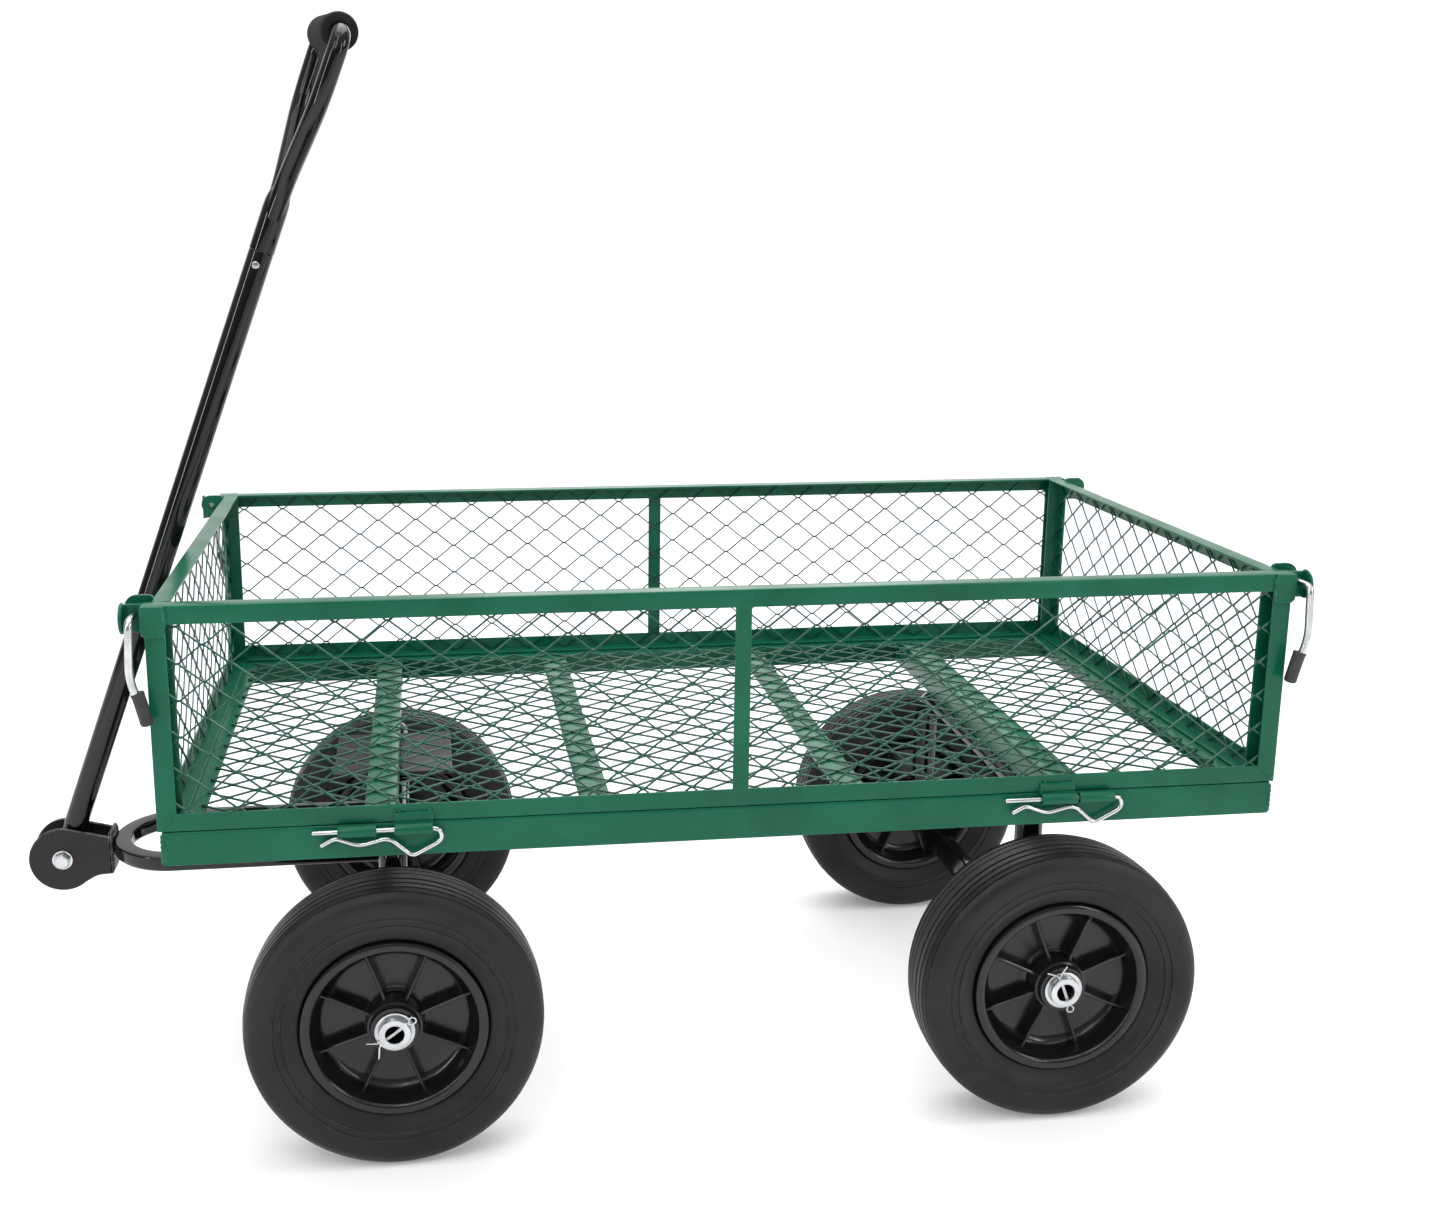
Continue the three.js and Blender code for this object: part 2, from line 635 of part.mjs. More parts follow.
const loopPoints = bent([
  at(0, -3, HANDLE_NECK - 16),
  at(0, -9, HANDLE_NECK + 14),
  at(0, -61, HANDLE_REACH - 62),
  at(0, -66, HANDLE_REACH),
  at(0, 66, HANDLE_REACH),
  at(0, 61, HANDLE_REACH - 62),
  at(0, 9, HANDLE_NECK + 14),
  at(0, 3, HANDLE_NECK - 16),
], 15, 4);
part(upper, 'handle_loop', join([neck, sweep(circle(LOOP_RADIUS, 10), loopPoints)]), BLACK);
const grip = ring(LOOP_RADIUS + GAP, GRIP_RADIUS, 2 * GRIP_HALF, 24);
part(upper, 'handle_grip', grip.translate(0, 0, HANDLE_REACH), FOAM);
const button = cylinder(3.5, 3, 'y', 14);
part(handle, 'handle_button', button.translate(0, -HANDLE_RADIUS - 1.8, HANDLE_JOINT - 12), ZINC);

export default cart;
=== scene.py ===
"""Steel garden cart: the finished surfaces and materials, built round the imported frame.

Lengths are in millimetres until a piece is made, and +X runs to the rear of the cart. The four sides
are drawn facing -Y about the middle of the bed, and then turned into place.
"""

import math

import bpy
import numpy as np
from mathutils import Matrix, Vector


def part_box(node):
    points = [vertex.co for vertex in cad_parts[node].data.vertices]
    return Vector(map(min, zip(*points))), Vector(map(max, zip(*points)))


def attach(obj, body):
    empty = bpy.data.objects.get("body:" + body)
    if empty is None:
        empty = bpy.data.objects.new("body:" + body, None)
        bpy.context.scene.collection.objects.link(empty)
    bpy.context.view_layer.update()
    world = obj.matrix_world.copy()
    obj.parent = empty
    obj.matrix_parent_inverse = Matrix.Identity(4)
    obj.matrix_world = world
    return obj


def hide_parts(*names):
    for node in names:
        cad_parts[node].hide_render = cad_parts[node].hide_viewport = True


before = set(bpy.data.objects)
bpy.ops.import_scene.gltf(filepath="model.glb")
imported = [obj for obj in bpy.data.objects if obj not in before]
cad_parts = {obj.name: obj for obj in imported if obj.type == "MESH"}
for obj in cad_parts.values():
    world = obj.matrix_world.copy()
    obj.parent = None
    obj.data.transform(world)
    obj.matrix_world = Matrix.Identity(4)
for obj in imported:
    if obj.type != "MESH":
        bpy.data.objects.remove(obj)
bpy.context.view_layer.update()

MM = 0.001
X, Y, Z = np.eye(3)


def cad(node):
    """Lowest and highest corner of a CAD node, in millimetres."""
    low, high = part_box(node)
    return np.array(low) / MM, np.array(high) / MM


def cad_middle(node):
    """The middle of a CAD node's box, in millimetres."""
    low, high = cad(node)
    return (low + high) / 2


# ------------------------ sizes, from the frame

rail_low, rail_high = cad("bed_rail_near")
strip_high = cad("floor_strip_1")[1]
RAIL_WALL = 2.5
RAIL_FLANGE = 28.0
STRIP_GAP = 0.3
BED_X = cad_middle("bed_rail_near")[0]
BED_HALF = (rail_high[0] - rail_low[0]) / 2
BED_OUT = {"long": strip_high[1] + RAIL_FLANGE + STRIP_GAP, "end": BED_HALF}
BED_BOTTOM = rail_low[2]
BED_TOP = strip_high[2]

mesh_low, mesh_high = cad("near_side_mesh")
MESH_INSET = 2.3
SIDE_TOP = mesh_high[2] + MESH_INSET
SIDE_BOTTOM = mesh_low[2] - MESH_INSET
SIDE_HALF = {
    "long": (mesh_high[0] - mesh_low[0]) / 2 + MESH_INSET,
    "end": cad("rear_side_mesh")[1][1] + MESH_INSET,
}
SIDES = {
    "near": ("long", 0.0),
    "far": ("long", math.pi),
    "rear": ("end", math.pi / 2),
    "front": ("end", -math.pi / 2),
}

# Along a side: the middle of the bed's barrel, the middle of the side's barrel, and the clip's free end.
HINGES = {"long": [(-316, -270.4, -352), (309, 275.6, 228)], "end": [(-151, -113, -191), (151, 113, 69.5)]}
HINGE_Z = 309.6
HINGE_OUT = 5.3
BARREL_LENGTH = 31.0
HINGE_PIN_RADIUS = 1.95
LATCH_X = BED_HALF + 12.5
LATCH_Z = 491.0
LATCH_ROD_RADIUS = 3.2
LATCH_TIP_RADIUS = 5.2

axle_low, axle_high = cad("front_axle")
AXLE_Z = cad_middle("front_axle")[2]
AXLE_HALF = axle_high[1]
AXLE_RADIUS = (axle_high[2] - axle_low[2]) / 2
AXLE_BORE = 8.0
AXLE_X = {"front": cad_middle("front_axle")[0], "rear": cad_middle("rear_axle")[0]}
WHEEL_Y = cad_middle("tyre_front_far")[1]
WHEEL_RADIUS = AXLE_Z
HUB_HALF = 28.5
LEG_Y = 150.0
LEG_RADIUS = 12.5

PIVOT = cad_middle("handle_pivot_sleeve")
HANDLE_LEAN = math.radians(20.3)
HANDLE_TWIST = math.radians(12)
TOW_Z = cad_middle("tow_bar")[2]


# ------------------------ surfaces

def grid(points, wrap_u=False, wrap_v=True, caps=True):
    """The surface through points[i, j]: a quad between each four neighbours, joined round along a
    direction that wraps, with the first and last rows closed by flat caps."""
    nu, nv = points.shape[:2]
    index = np.arange(nu * nv).reshape(nu, nv)
    rows = np.vstack([index, index[:1]]) if wrap_u else index
    if wrap_v:
        rows = np.hstack([rows, rows[:, :1]])
    quads = np.stack([rows[:-1, :-1], rows[1:, :-1], rows[1:, 1:], rows[:-1, 1:]], -1).reshape(-1, 4)
    faces = [quads]
    if caps and not wrap_u:
        faces += [index[:1], index[-1:, ::-1]]
    return points.reshape(-1, 3), faces


def outward(shell):
    """The shell with its faces pointing out. Its volume is a sixth of the sum of the triple products
    of every face's triangles, and a negative one means that the faces point in."""
    points, faces = shell
    volume = 0.0
    for face in faces:
        for k in range(1, face.shape[1] - 1):
            a, b, c = points[face[:, 0]], points[face[:, k]], points[face[:, k + 1]]
            volume += np.einsum("ij,ij->i", a, np.cross(b, c)).sum()
    return (points, [face[:, ::-1] for face in faces]) if volume < 0 else shell


def added(name, data):
    """A new object in the scene."""
    obj = bpy.data.objects.new(name, data)
    bpy.context.scene.collection.objects.link(obj)
    return obj


def piece(name, shells, finish, body, stands_for=(), sharp=34):
    """One object from closed shells, with its place in its mesh, riding on a body. Its finish is a material
    and a slot, and the slot is not used."""
    material, slot = finish
    points, faces, start = [], [], 0
    for shell in shells:
        shell_points, shell_faces = outward(shell)
        points.append(shell_points)
        faces += [row for face in shell_faces for row in (face + start).tolist()]
        start += len(shell_points)
    mesh = bpy.data.meshes.new(name)
    mesh.from_pydata((np.vstack(points) * MM).tolist(), [], faces)
    mesh.shade_smooth()
    mesh.set_sharp_from_angle(angle=math.radians(sharp))
    mesh.materials.append(material)
    obj = added(name, mesh)
    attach(obj, body)
    if stands_for:
        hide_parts(*stands_for)
    return obj


def moved(shells, turn=None, shift=(0, 0, 0)):
    """Shells turned by a 3 by 3 matrix and then shifted."""
    turn = np.eye(3) if turn is None else np.asarray(turn)
    return [(points @ turn.T + np.asarray(shift, float), faces) for points, faces in shells]


def turn_about(axis, angle):
    """The 3 by 3 matrix of a turn round a named axis."""
    return np.array(Matrix.Rotation(angle, 3, axis))


def rounded(corners, radii, steps=4, closed=True):
    """A line with its corners replaced by arcs: from a corner's two tangent points, a quadratic curve
    with the corner as its control point. Corners with a radius of 0 stay."""
    corners = np.asarray(corners, float)
    radii = np.broadcast_to(radii, len(corners))
    before = np.roll(corners, 1, 0) - corners
    after = np.roll(corners, -1, 0) - corners
    before /= np.linalg.norm(before, axis=1, keepdims=True)
    after /= np.linalg.norm(after, axis=1, keepdims=True)
    t = np.linspace(0, 1, steps + 1)[:, None]
    line = []
    for k, corner in enumerate(corners):
        at_end = not closed and k in (0, len(corners) - 1)
        if at_end or radii[k] == 0:
            line.append(corner[None])
            continue
        enter, leave = corner + before[k] * radii[k], corner + after[k] * radii[k]
        line.append((1 - t) ** 2 * enter + 2 * t * (1 - t) * corner + t ** 2 * leave)
    return np.vstack(line)


def circle(radius, sides=24, start=0.0):
    """Points round a circle: the radius times the cosine and the sine of evenly spaced angles."""
    angle = start + np.linspace(0, 2 * np.pi, sides, endpoint=False)
    return radius * np.stack([np.cos(angle), np.sin(angle)], 1)


def rectangle(width, height, radius=0.0, steps=3):
    """A rectangle about the origin, with rounded corners."""
    w, h = width / 2, height / 2
    return rounded([(-w, -h), (w, -h), (w, h), (-w, h)], radius, steps)


def ringed(path, tangent, section, normal, scale):
    """A section of changing size set at each point of a path that lies near a plane. Its first axis is
    the tangent crossed with the plane's normal, and its second is that axis crossed with the tangent."""
    tangent = tangent / np.linalg.norm(tangent, axis=1, keepdims=True)
    across = np.cross(tangent, normal)
    across /= np.linalg.norm(across, axis=1, keepdims=True)
    upward = np.cross(across, tangent)
    flat = section[None] * scale[:, None, None]
    return grid(path[:, None] + flat[..., :1] * across[:, None] + flat[..., 1:] * upward[:, None])


def swept(path, section, normal, scale=None):
    """A section carried along a path, square to the path's own direction at each point."""
    path = np.asarray(path, float)
    scale = np.ones(len(path)) if scale is None else scale
    return ringed(path, np.gradient(path, axis=0), section, normal, scale)


def rod(path, radius, normal, sides=20, ends=1.0):
    """A round bar along a path. Each end is rounded by four more rings, whose radius follows a quarter
    circle as they move the end fillet's depth along the tangent."""
    path = np.asarray(path, float)
    fillet = radius * ends
    angle = np.linspace(0, np.pi / 2, 5)[:-1]
    depth = fillet * (1 - np.cos(angle))[:, None]
    size = radius - fillet * (1 - np.sin(angle)) * 0.999
    first = (path[1] - path[0]) / np.linalg.norm(path[1] - path[0])
    last = (path[-1] - path[-2]) / np.linalg.norm(path[-1] - path[-2])
    route = np.vstack([path[0] + first * depth, path[0] + first * fillet, path[1:-1],
                       path[-1] - last * fillet, (path[-1] - last * depth)[::-1]])
    scale = np.r_[size, np.full(len(path), radius), size[::-1]] / radius
    tangent = np.gradient(route, axis=0)
    tangent[:5] = first
    tangent[-5:] = last
    return ringed(route, tangent, circle(radius, sides), normal, scale)


def turned(profile, centre=(0, 0, 0), axis=1, segments=48):
    """A closed profile of (radius, height) turned round an axis through a centre."""
    profile = np.asarray(profile, float)
    angle = np.linspace(0, 2 * np.pi, segments, endpoint=False)
    radius, height = profile[None, :, 0], profile[None, :, 1]
    round_a = radius * np.cos(angle)[:, None]
    round_b = radius * np.sin(angle)[:, None]
    points = np.empty((segments, len(profile), 3))
    points[..., axis] = height
    points[..., (axis + 1) % 3] = round_a
    points[..., (axis + 2) % 3] = round_b
    return grid(points + np.asarray(centre, float), wrap_u=True)


def collar(inner, outer, length, fillet=0.5):
    """The closed profile of a round sleeve, with its edges rounded."""
    h = length / 2
    return rounded([(inner, -h), (outer, -h), (outer, h), (inner, h)], fillet, 3)


def knob(radius, length, fillet):
    """The closed profile of a solid disc or button, which starts and ends close to its axis."""
    h = length / 2
    return rounded([(0.02, -h), (radius, -h), (radius, h), (0.02, h)], [0, fillet, fillet, 0], 4)


def plate(outline, thickness, bevel=0.4):
    """A flat outline given a thickness along its third axis. Near both faces the outline is drawn in by
    the bevel, along the mean of each point's two edge normals, so that its edges catch the light."""
    outline = np.asarray(outline, float)
    edge = np.roll(outline, -1, 0) - outline
    side = np.stack([-edge[:, 1], edge[:, 0]], 1)
    side /= np.maximum(np.linalg.norm(side, axis=1, keepdims=True), 1e-9)
    area = np.sum(outline[:, 0] * np.roll(outline[:, 1], -1) - outline[:, 1] * np.roll(outline[:, 0], -1))
    mean = side + np.roll(side, 1, 0)
    mean /= np.maximum(np.sum(mean * mean, 1, keepdims=True) / 2, 0.3)
    inward = mean * np.sign(area)
    h = thickness / 2
    levels = [(-h, bevel), (-h + bevel, 0), (h - bevel, 0), (h, bevel)]
    rings = [np.c_[outline + inward * inset, np.full(len(outline), z)] for z, inset in levels]
    return grid(np.stack(rings))


def pierced(outer, inner, thickness):
    """A plate with a hole: two outlines with as many points each, joined round through both faces."""
    h = thickness / 2
    rings = [(outer, -h), (outer, h), (inner, h), (inner, -h)]
    return grid(np.stack([np.c_[line, np.full(len(line), z)] for line, z in rings]), wrap_u=True)


def stood(shell, origin, u, v):
    """A flat shell stood up at an origin, with its first two axes along u and v."""
    points, faces = shell
    u, v = np.asarray(u, float), np.asarray(v, float)
    return points @ np.stack([u, v, np.cross(u, v)]) + np.asarray(origin, float), faces


def slab(low, high, bevel=0.4):
    """A box between two corners, with its four long edges rounded and its ends bevelled."""
    low, high = np.minimum(low, high).astype(float), np.maximum(low, high).astype(float)
    size = high - low
    longest = int(np.argmax(size))
    a, b = (longest + 1) % 3, (longest + 2) % 3
    shell = plate(rectangle(size[a], size[b], bevel, 2), size[longest], bevel)
    return stood(shell, (low + high) / 2, np.eye(3)[a], np.eye(3)[b])


def bead(start, end, radius, ripple=2.4):
    """A weld: a low ridge along a line, whose radius rises and falls once for each ripple."""
    start, end = np.asarray(start, float), np.asarray(end, float)
    length = np.linalg.norm(end - start)
    count = max(int(length / ripple * 6), 8)
    t = np.linspace(0, 1, count)
    ends = np.sqrt(np.clip(1 - (2 * t - 1) ** 8, 0.02, 1))
    scale = ends * (0.9 + 0.3 * np.abs(np.sin(np.pi * t * length / ripple)))
    line = start + (end - start) * t[:, None]
    normal = Z if abs((end - start)[2]) < 0.7 * length else Y
    return swept(line, circle(radius, 10), normal, scale)


def blob(centre, radius):
    """A weld spot: a flattened ball, from a half circle turned about Y."""
    a = np.linspace(-np.pi / 2, np.pi / 2, 9)
    profile = np.stack([np.maximum(radius * np.cos(a), 0.02), radius * 0.6 * np.sin(a)], 1)
    return turned(profile, centre, 1, 14)


# ------------------------ materials

def new_group(name, inputs, outputs):
    """An empty shader group with named sockets, and its input and output nodes. An input whose default
    has four parts is a colour, and any other one is a number."""
    tree = bpy.data.node_groups.new(name, "ShaderNodeTree")
    for label, value in inputs.items():
        kind = "NodeSocketColor" if isinstance(value, tuple) else "NodeSocketFloat"
        tree.interface.new_socket(label, in_out="INPUT", socket_type=kind).default_value = value
    for label, kind in outputs.items():
        tree.interface.new_socket(label, in_out="OUTPUT", socket_type=kind)
    return tree, tree.nodes.new("NodeGroupInput"), tree.nodes.new("NodeGroupOutput")


def node(tree, kind, inputs=None, **settings):
    """A node with its settings, whose inputs are linked where they name a socket, or else set."""
    made = tree.nodes.new(kind)
    for key, value in settings.items():
        setattr(made, key, value)
    for key, value in (inputs or {}).items():
        if isinstance(value, bpy.types.NodeSocket):
            tree.links.new(value, made.inputs[key])
        else:
            made.inputs[key].default_value = value
    return made


def speckle(tree, scale, detail):
    """Soft noise over a piece's own surface."""
    place = node(tree, "ShaderNodeTexCoord")
    return node(tree, "ShaderNodeTexNoise",
                {"Vector": place.outputs["Object"], "Scale": scale, "Detail": detail}).outputs["Fac"]


def stretched(tree, value, low, high, to_low=0.0, to_high=1.0):
    """A value mapped so that low and high become two others."""
    return node(tree, "ShaderNodeMapRange", {"Value": value, "From Min": low, "From Max": high,
                                             "To Min": to_low, "To Max": to_high}).outputs["Result"]


def product(tree, first, second):
    """Two values multiplied."""
    return node(tree, "ShaderNodeMath", {0: first, 1: second}, operation="MULTIPLY").outputs[0]


def tinted(tree, mask, colour, tint):
    """A colour that turns into a tint where the mask is 1."""
    return node(tree, "ShaderNodeMix", {"Factor": mask, 6: colour, 7: tint}, data_type="RGBA").outputs[2]


def mottle_group():
    """Two shades mixed by soft noise over the surface."""
    tree, start, end = new_group("mottle", {"Light": (1, 1, 1, 1), "Dark": (0, 0, 0, 1), "Scale": 20.0},
                                 {"Color": "NodeSocketColor", "Mask": "NodeSocketFloat"})
    mask = stretched(tree, speckle(tree, start.outputs["Scale"], 5.0), 0.3, 0.7)
    mixed = tinted(tree, mask, start.outputs["Light"], start.outputs["Dark"])
    tree.links.new(mixed, end.inputs["Color"])
    tree.links.new(mask, end.inputs["Mask"])
    return tree


def grain_group():
    """A fine bumpy skin, such as orange peel in paint or the grain of moulded rubber."""
    tree, start, end = new_group("grain", {"Scale": 800.0, "Depth": 0.1}, {"Normal": "NodeSocketVector"})
    bump = node(tree, "ShaderNodeBump", {"Height": speckle(tree, start.outputs["Scale"], 3.0),
                                         "Strength": start.outputs["Depth"], "Distance": 0.0004})
    tree.links.new(bump.outputs["Normal"], end.inputs["Normal"])
    return tree


def edge_highlight_group():
    """A mask of painted highlight along edges: where a normal rounded over a small radius leaves the true
    one, broken up by noise. The colour mixed in through it lightens the edges as light catching them would."""
    tree, start, end = new_group("painted_edge_highlight", {"Radius": 0.0008, "Amount": 0.5}, {"Mask": "NodeSocketFloat"})
    soft = node(tree, "ShaderNodeBevel", {"Radius": start.outputs["Radius"]}, samples=4)
    true = node(tree, "ShaderNodeNewGeometry")
    likeness = node(tree, "ShaderNodeVectorMath", {0: soft.outputs[0], 1: true.outputs["Normal"]},
                    operation="DOT_PRODUCT")
    edge = stretched(tree, likeness.outputs["Value"], 0.995, 0.86)
    patchy = stretched(tree, speckle(tree, 130.0, 4.0), 0.38, 0.66)
    mask = product(tree, product(tree, edge, patchy), start.outputs["Amount"])
    tree.links.new(mask, end.inputs["Mask"])
    return tree


def dust_group():
    """A mask of dust: strongest where the surface faces up, in patches."""
    tree, start, end = new_group("dust", {"Amount": 0.2, "Scale": 30.0}, {"Mask": "NodeSocketFloat"})
    place = node(tree, "ShaderNodeTexCoord")
    facing = node(tree, "ShaderNodeSeparateXYZ", {"Vector": place.outputs["Normal"]})
    upward = stretched(tree, facing.outputs["Z"], -0.3, 1.0)
    patchy = stretched(tree, speckle(tree, start.outputs["Scale"], 6.0), 0.35, 0.75)
    mask = product(tree, product(tree, upward, patchy), start.outputs["Amount"])
    tree.links.new(mask, end.inputs["Mask"])
    return tree


MOTTLE, GRAIN, EDGE_HIGHLIGHT, DUST = mottle_group(), grain_group(), edge_highlight_group(), dust_group()


def grouped(tree, group, inputs):
    """A group's node, with its inputs set."""
    return node(tree, "ShaderNodeGroup", inputs, node_tree=group)


def finish_of(slot, name, light, dark, rough, grain, edge_highlight=None, dust=None, patch=18.0, coat=0.0, metallic=0.0,
              specular=0.5):
    """A material and its slot: two shades in soft patches, a roughness that varies with them between two
    values, a grain of (scale, depth), and where given, a painted highlight along the edges of (colour,
    radius, amount) and a film of dust of (colour, amount, scale)."""
    material = bpy.data.materials.new(name)
    material.use_nodes = True
    tree = material.node_tree
    shader = tree.nodes["Principled BSDF"]
    shader.inputs["Metallic"].default_value = metallic
    shader.inputs["Coat Weight"].default_value = coat
    shader.inputs["Coat Roughness"].default_value = 0.12
    shader.inputs["Specular IOR Level"].default_value = specular
    mottle = grouped(tree, MOTTLE, {"Light": (*light, 1), "Dark": (*dark, 1), "Scale": patch})
    skin = grouped(tree, GRAIN, {"Scale": grain[0], "Depth": grain[1]})
    colour = mottle.outputs["Color"]
    # Painted highlight: the edges are lightened towards a given colour, as light catching them would light
    # them.
    if edge_highlight:
        tint, radius, amount = edge_highlight
        edges = grouped(tree, EDGE_HIGHLIGHT, {"Radius": radius, "Amount": amount})
        colour = tinted(tree, edges.outputs["Mask"], colour, (*tint, 1))
    if dust:
        tint, amount, scale = dust
        film = grouped(tree, DUST, {"Amount": amount, "Scale": scale})
        colour = tinted(tree, film.outputs["Mask"], colour, (*tint, 1))
    tree.links.new(colour, shader.inputs["Base Color"])
    gloss = stretched(tree, mottle.outputs["Mask"], 0.0, 1.0, *rough)
    tree.links.new(gloss, shader.inputs["Roughness"])
    tree.links.new(skin.outputs["Normal"], shader.inputs["Normal"])
    return material, slot


# The lighter green along the edges is a painted highlight.
GREEN = finish_of("green_steel", "green_enamel", (0.005, 0.108, 0.058), (0.003, 0.080, 0.042),
                  (0.20, 0.32), (520.0, 0.08), edge_highlight=((0.10, 0.34, 0.24), 0.0009, 0.55), coat=0.05,
                  specular=0.17)
GREEN_MESH = finish_of("green_mesh", "green_mesh_enamel", (0.006, 0.082, 0.048), (0.004, 0.054, 0.031),
                       (0.28, 0.42), (700.0, 0.12), coat=0.1, specular=0.4)
# The grey along the edges is a painted highlight.
BLACK = finish_of("black_steel", "black_enamel", (0.0035, 0.0035, 0.0038), (0.002, 0.002, 0.0022),
                  (0.05, 0.12), (420.0, 0.04), edge_highlight=((0.05, 0.05, 0.052), 0.0008, 0.4), specular=0.4)
# The light grey along the edges is a painted highlight.
SATIN = finish_of("clevis_steel", "satin_black", (0.0150, 0.0115, 0.0105), (0.010, 0.008, 0.0073),
                  (0.34, 0.48), (650.0, 0.2), edge_highlight=((0.42, 0.42, 0.43), 0.0009, 0.9), specular=0.3)
SATIN_PLATE = (SATIN[0], "black_steel")
ZINC = finish_of("zinc_steel", "bright_zinc", (0.60, 0.61, 0.62), (0.46, 0.47, 0.49), (0.15, 0.30),
                 (900.0, 0.12), patch=70.0, metallic=1.0)
# The lighter grey along the edges is a painted highlight that picks out the side wall's fine rings.
TYRE = finish_of("tyre", "tyre_rubber", (0.0105, 0.0105, 0.0113), (0.0065, 0.0065, 0.007), (0.36, 0.60),
                 (1300.0, 0.22), edge_highlight=((0.075, 0.077, 0.082), 0.0008, 0.6),
                 dust=((0.042, 0.044, 0.050), 0.35, 16.0), patch=14.0, specular=0.27)
# The grey along the edges is a painted highlight.
RIM = finish_of("rim_plastic", "rim_plastic", (0.0080, 0.0080, 0.0085), (0.0055, 0.0055, 0.006),
                (0.16, 0.26), (700.0, 0.10), edge_highlight=((0.05, 0.05, 0.052), 0.0010, 0.5), patch=26.0,
                specular=0.4)
TIP = finish_of("tip_rubber", "tip_rubber", (0.028, 0.028, 0.029), (0.016, 0.016, 0.017), (0.55, 0.72),
                (1500.0, 0.35), patch=90.0)
FOAM = finish_of("grip_foam", "grip_foam", (0.0125, 0.0125, 0.013), (0.007, 0.007, 0.0075),
                 (0.82, 0.95), (2600.0, 0.75), patch=60.0, specular=0.25)


# ------------------------ bed and sides

def in_place(shells, turn):
    """Shells drawn facing -Y about the middle of the bed, turned round to their own side of it."""
    return moved(shells, turn_about("Z", turn), (BED_X, 0, 0))


BARREL = collar(2.6, 5.0, BARREL_LENGTH)


def bed_rail(name, kind, turn):
    """One rail: an angle section with a rounded outer corner, carried along the side."""
    out, wall, flange = BED_OUT[kind], RAIL_WALL, RAIL_FLANGE
    section = [(-out, BED_BOTTOM), (-out, BED_TOP), (-out + flange, BED_TOP), (-out + flange, BED_TOP - wall),
               (-out + wall, BED_TOP - wall), (-out + wall, BED_BOTTOM)]
    line = rounded(section, [0.5, 2.2, 0.5, 0.5, 1.0, 0.5], 3)
    reach = BED_HALF if kind == "long" else BED_OUT["long"] - flange
    ends = np.array([-reach, reach])
    points = np.empty((2, len(line), 3))
    points[..., 0] = ends[:, None]
    points[..., 1:] = line
    shells = [grid(points)]
    for end in (-1, 1):
        if kind == "end":
            shells.append(slab((end * (reach - 1), -out, BED_BOTTOM),
                               (end * (BED_OUT["long"] - wall), -out + wall, BED_TOP - wall)))
        else:
            corner = np.array([end * (BED_HALF - 0.3), -out + 0.3, 0])
            shells.append(bead(corner + Z * (BED_BOTTOM + 1), corner + Z * (BED_TOP - 1), 1.6, 4.4))
    for bed_x, _, _ in HINGES[kind]:
        centre = (bed_x, -out - HINGE_OUT, HINGE_Z)
        shells.append(turned(BARREL, centre, 0, 28))
        half = BARREL_LENGTH / 2
        shells.append(slab((bed_x - half + 0.4, -out - HINGE_OUT + 2.5, HINGE_Z - 3.2),
                           (bed_x + half - 0.4, -out + 0.5, HINGE_Z + 2.6)))
        for end in (-1, 1):
            shells.append(bead((bed_x + end * half * 0.9, -out, HINGE_Z - 5.2),
                               (bed_x + end * half * 0.5, -out, HINGE_Z - 5.4), 0.9))
    piece(f"rail_{name}", in_place(shells, turn), GREEN, "bed", [f"bed_rail_{name}"])


def side_body(name):
    """The body that a side belongs to: the front one is fixed to the bed."""
    return "bed" if name == "front" else f"{name}_side"


def angle_frame(kind):
    """Four angles in one closed frame: an L section carried round a rectangle, with mitred corners. Along
    the side, the section's depth into the frame is stretched by 16 to 15."""
    half, out = SIDE_HALF[kind], BED_OUT[kind]
    face, deep, wall = 15.0, 15.0, 2.0
    section = rounded([(0, 0), (face, 0), (face, wall), (wall, wall), (wall, deep), (0, deep)],
                      [1.6, 0.5, 0.5, 0.8, 0.5, 0.5], 3)
    corners = np.array([(-1, -1), (1, -1), (1, 1), (-1, 1)], float)
    centre_z, half_z = (SIDE_TOP + SIDE_BOTTOM) / 2, (SIDE_TOP - SIDE_BOTTOM) / 2
    inward, depth = section[:, 0], section[:, 1]
    points = np.empty((4, len(section), 3))
    points[..., 0] = corners[:, :1] * (half - inward * 16 / 15)
    points[..., 1] = -out + depth
    points[..., 2] = centre_z + corners[:, 1:] * (half_z - inward)
    return grid(points, wrap_u=True)


def hinge_strap(side_x, out):
    """The barrel on a side, the strap that it is rolled from, and the weld spots above it."""
    half = BARREL_LENGTH / 2
    centre = (side_x, -out - HINGE_OUT, HINGE_Z)
    strap = slab((side_x - half, -out - 2.6, HINGE_Z + 1.5), (side_x + half, -out + 0.4, HINGE_Z + 13), 0.6)
    roll = slab((side_x - half, -out - HINGE_OUT + 0.5, HINGE_Z + 2.2),
                (side_x + half, -out - 2.4, HINGE_Z + 4.9), 0.5)
    spots = [blob((side_x + dx, -out - 0.8, HINGE_Z + 13.8), size)
             for dx, size in ((-half + 0.5, 1.3), (-half + 4, 1.5), (half - 2, 1.9))]
    return [turned(BARREL, centre, 0, 28), strap, roll, *spots]


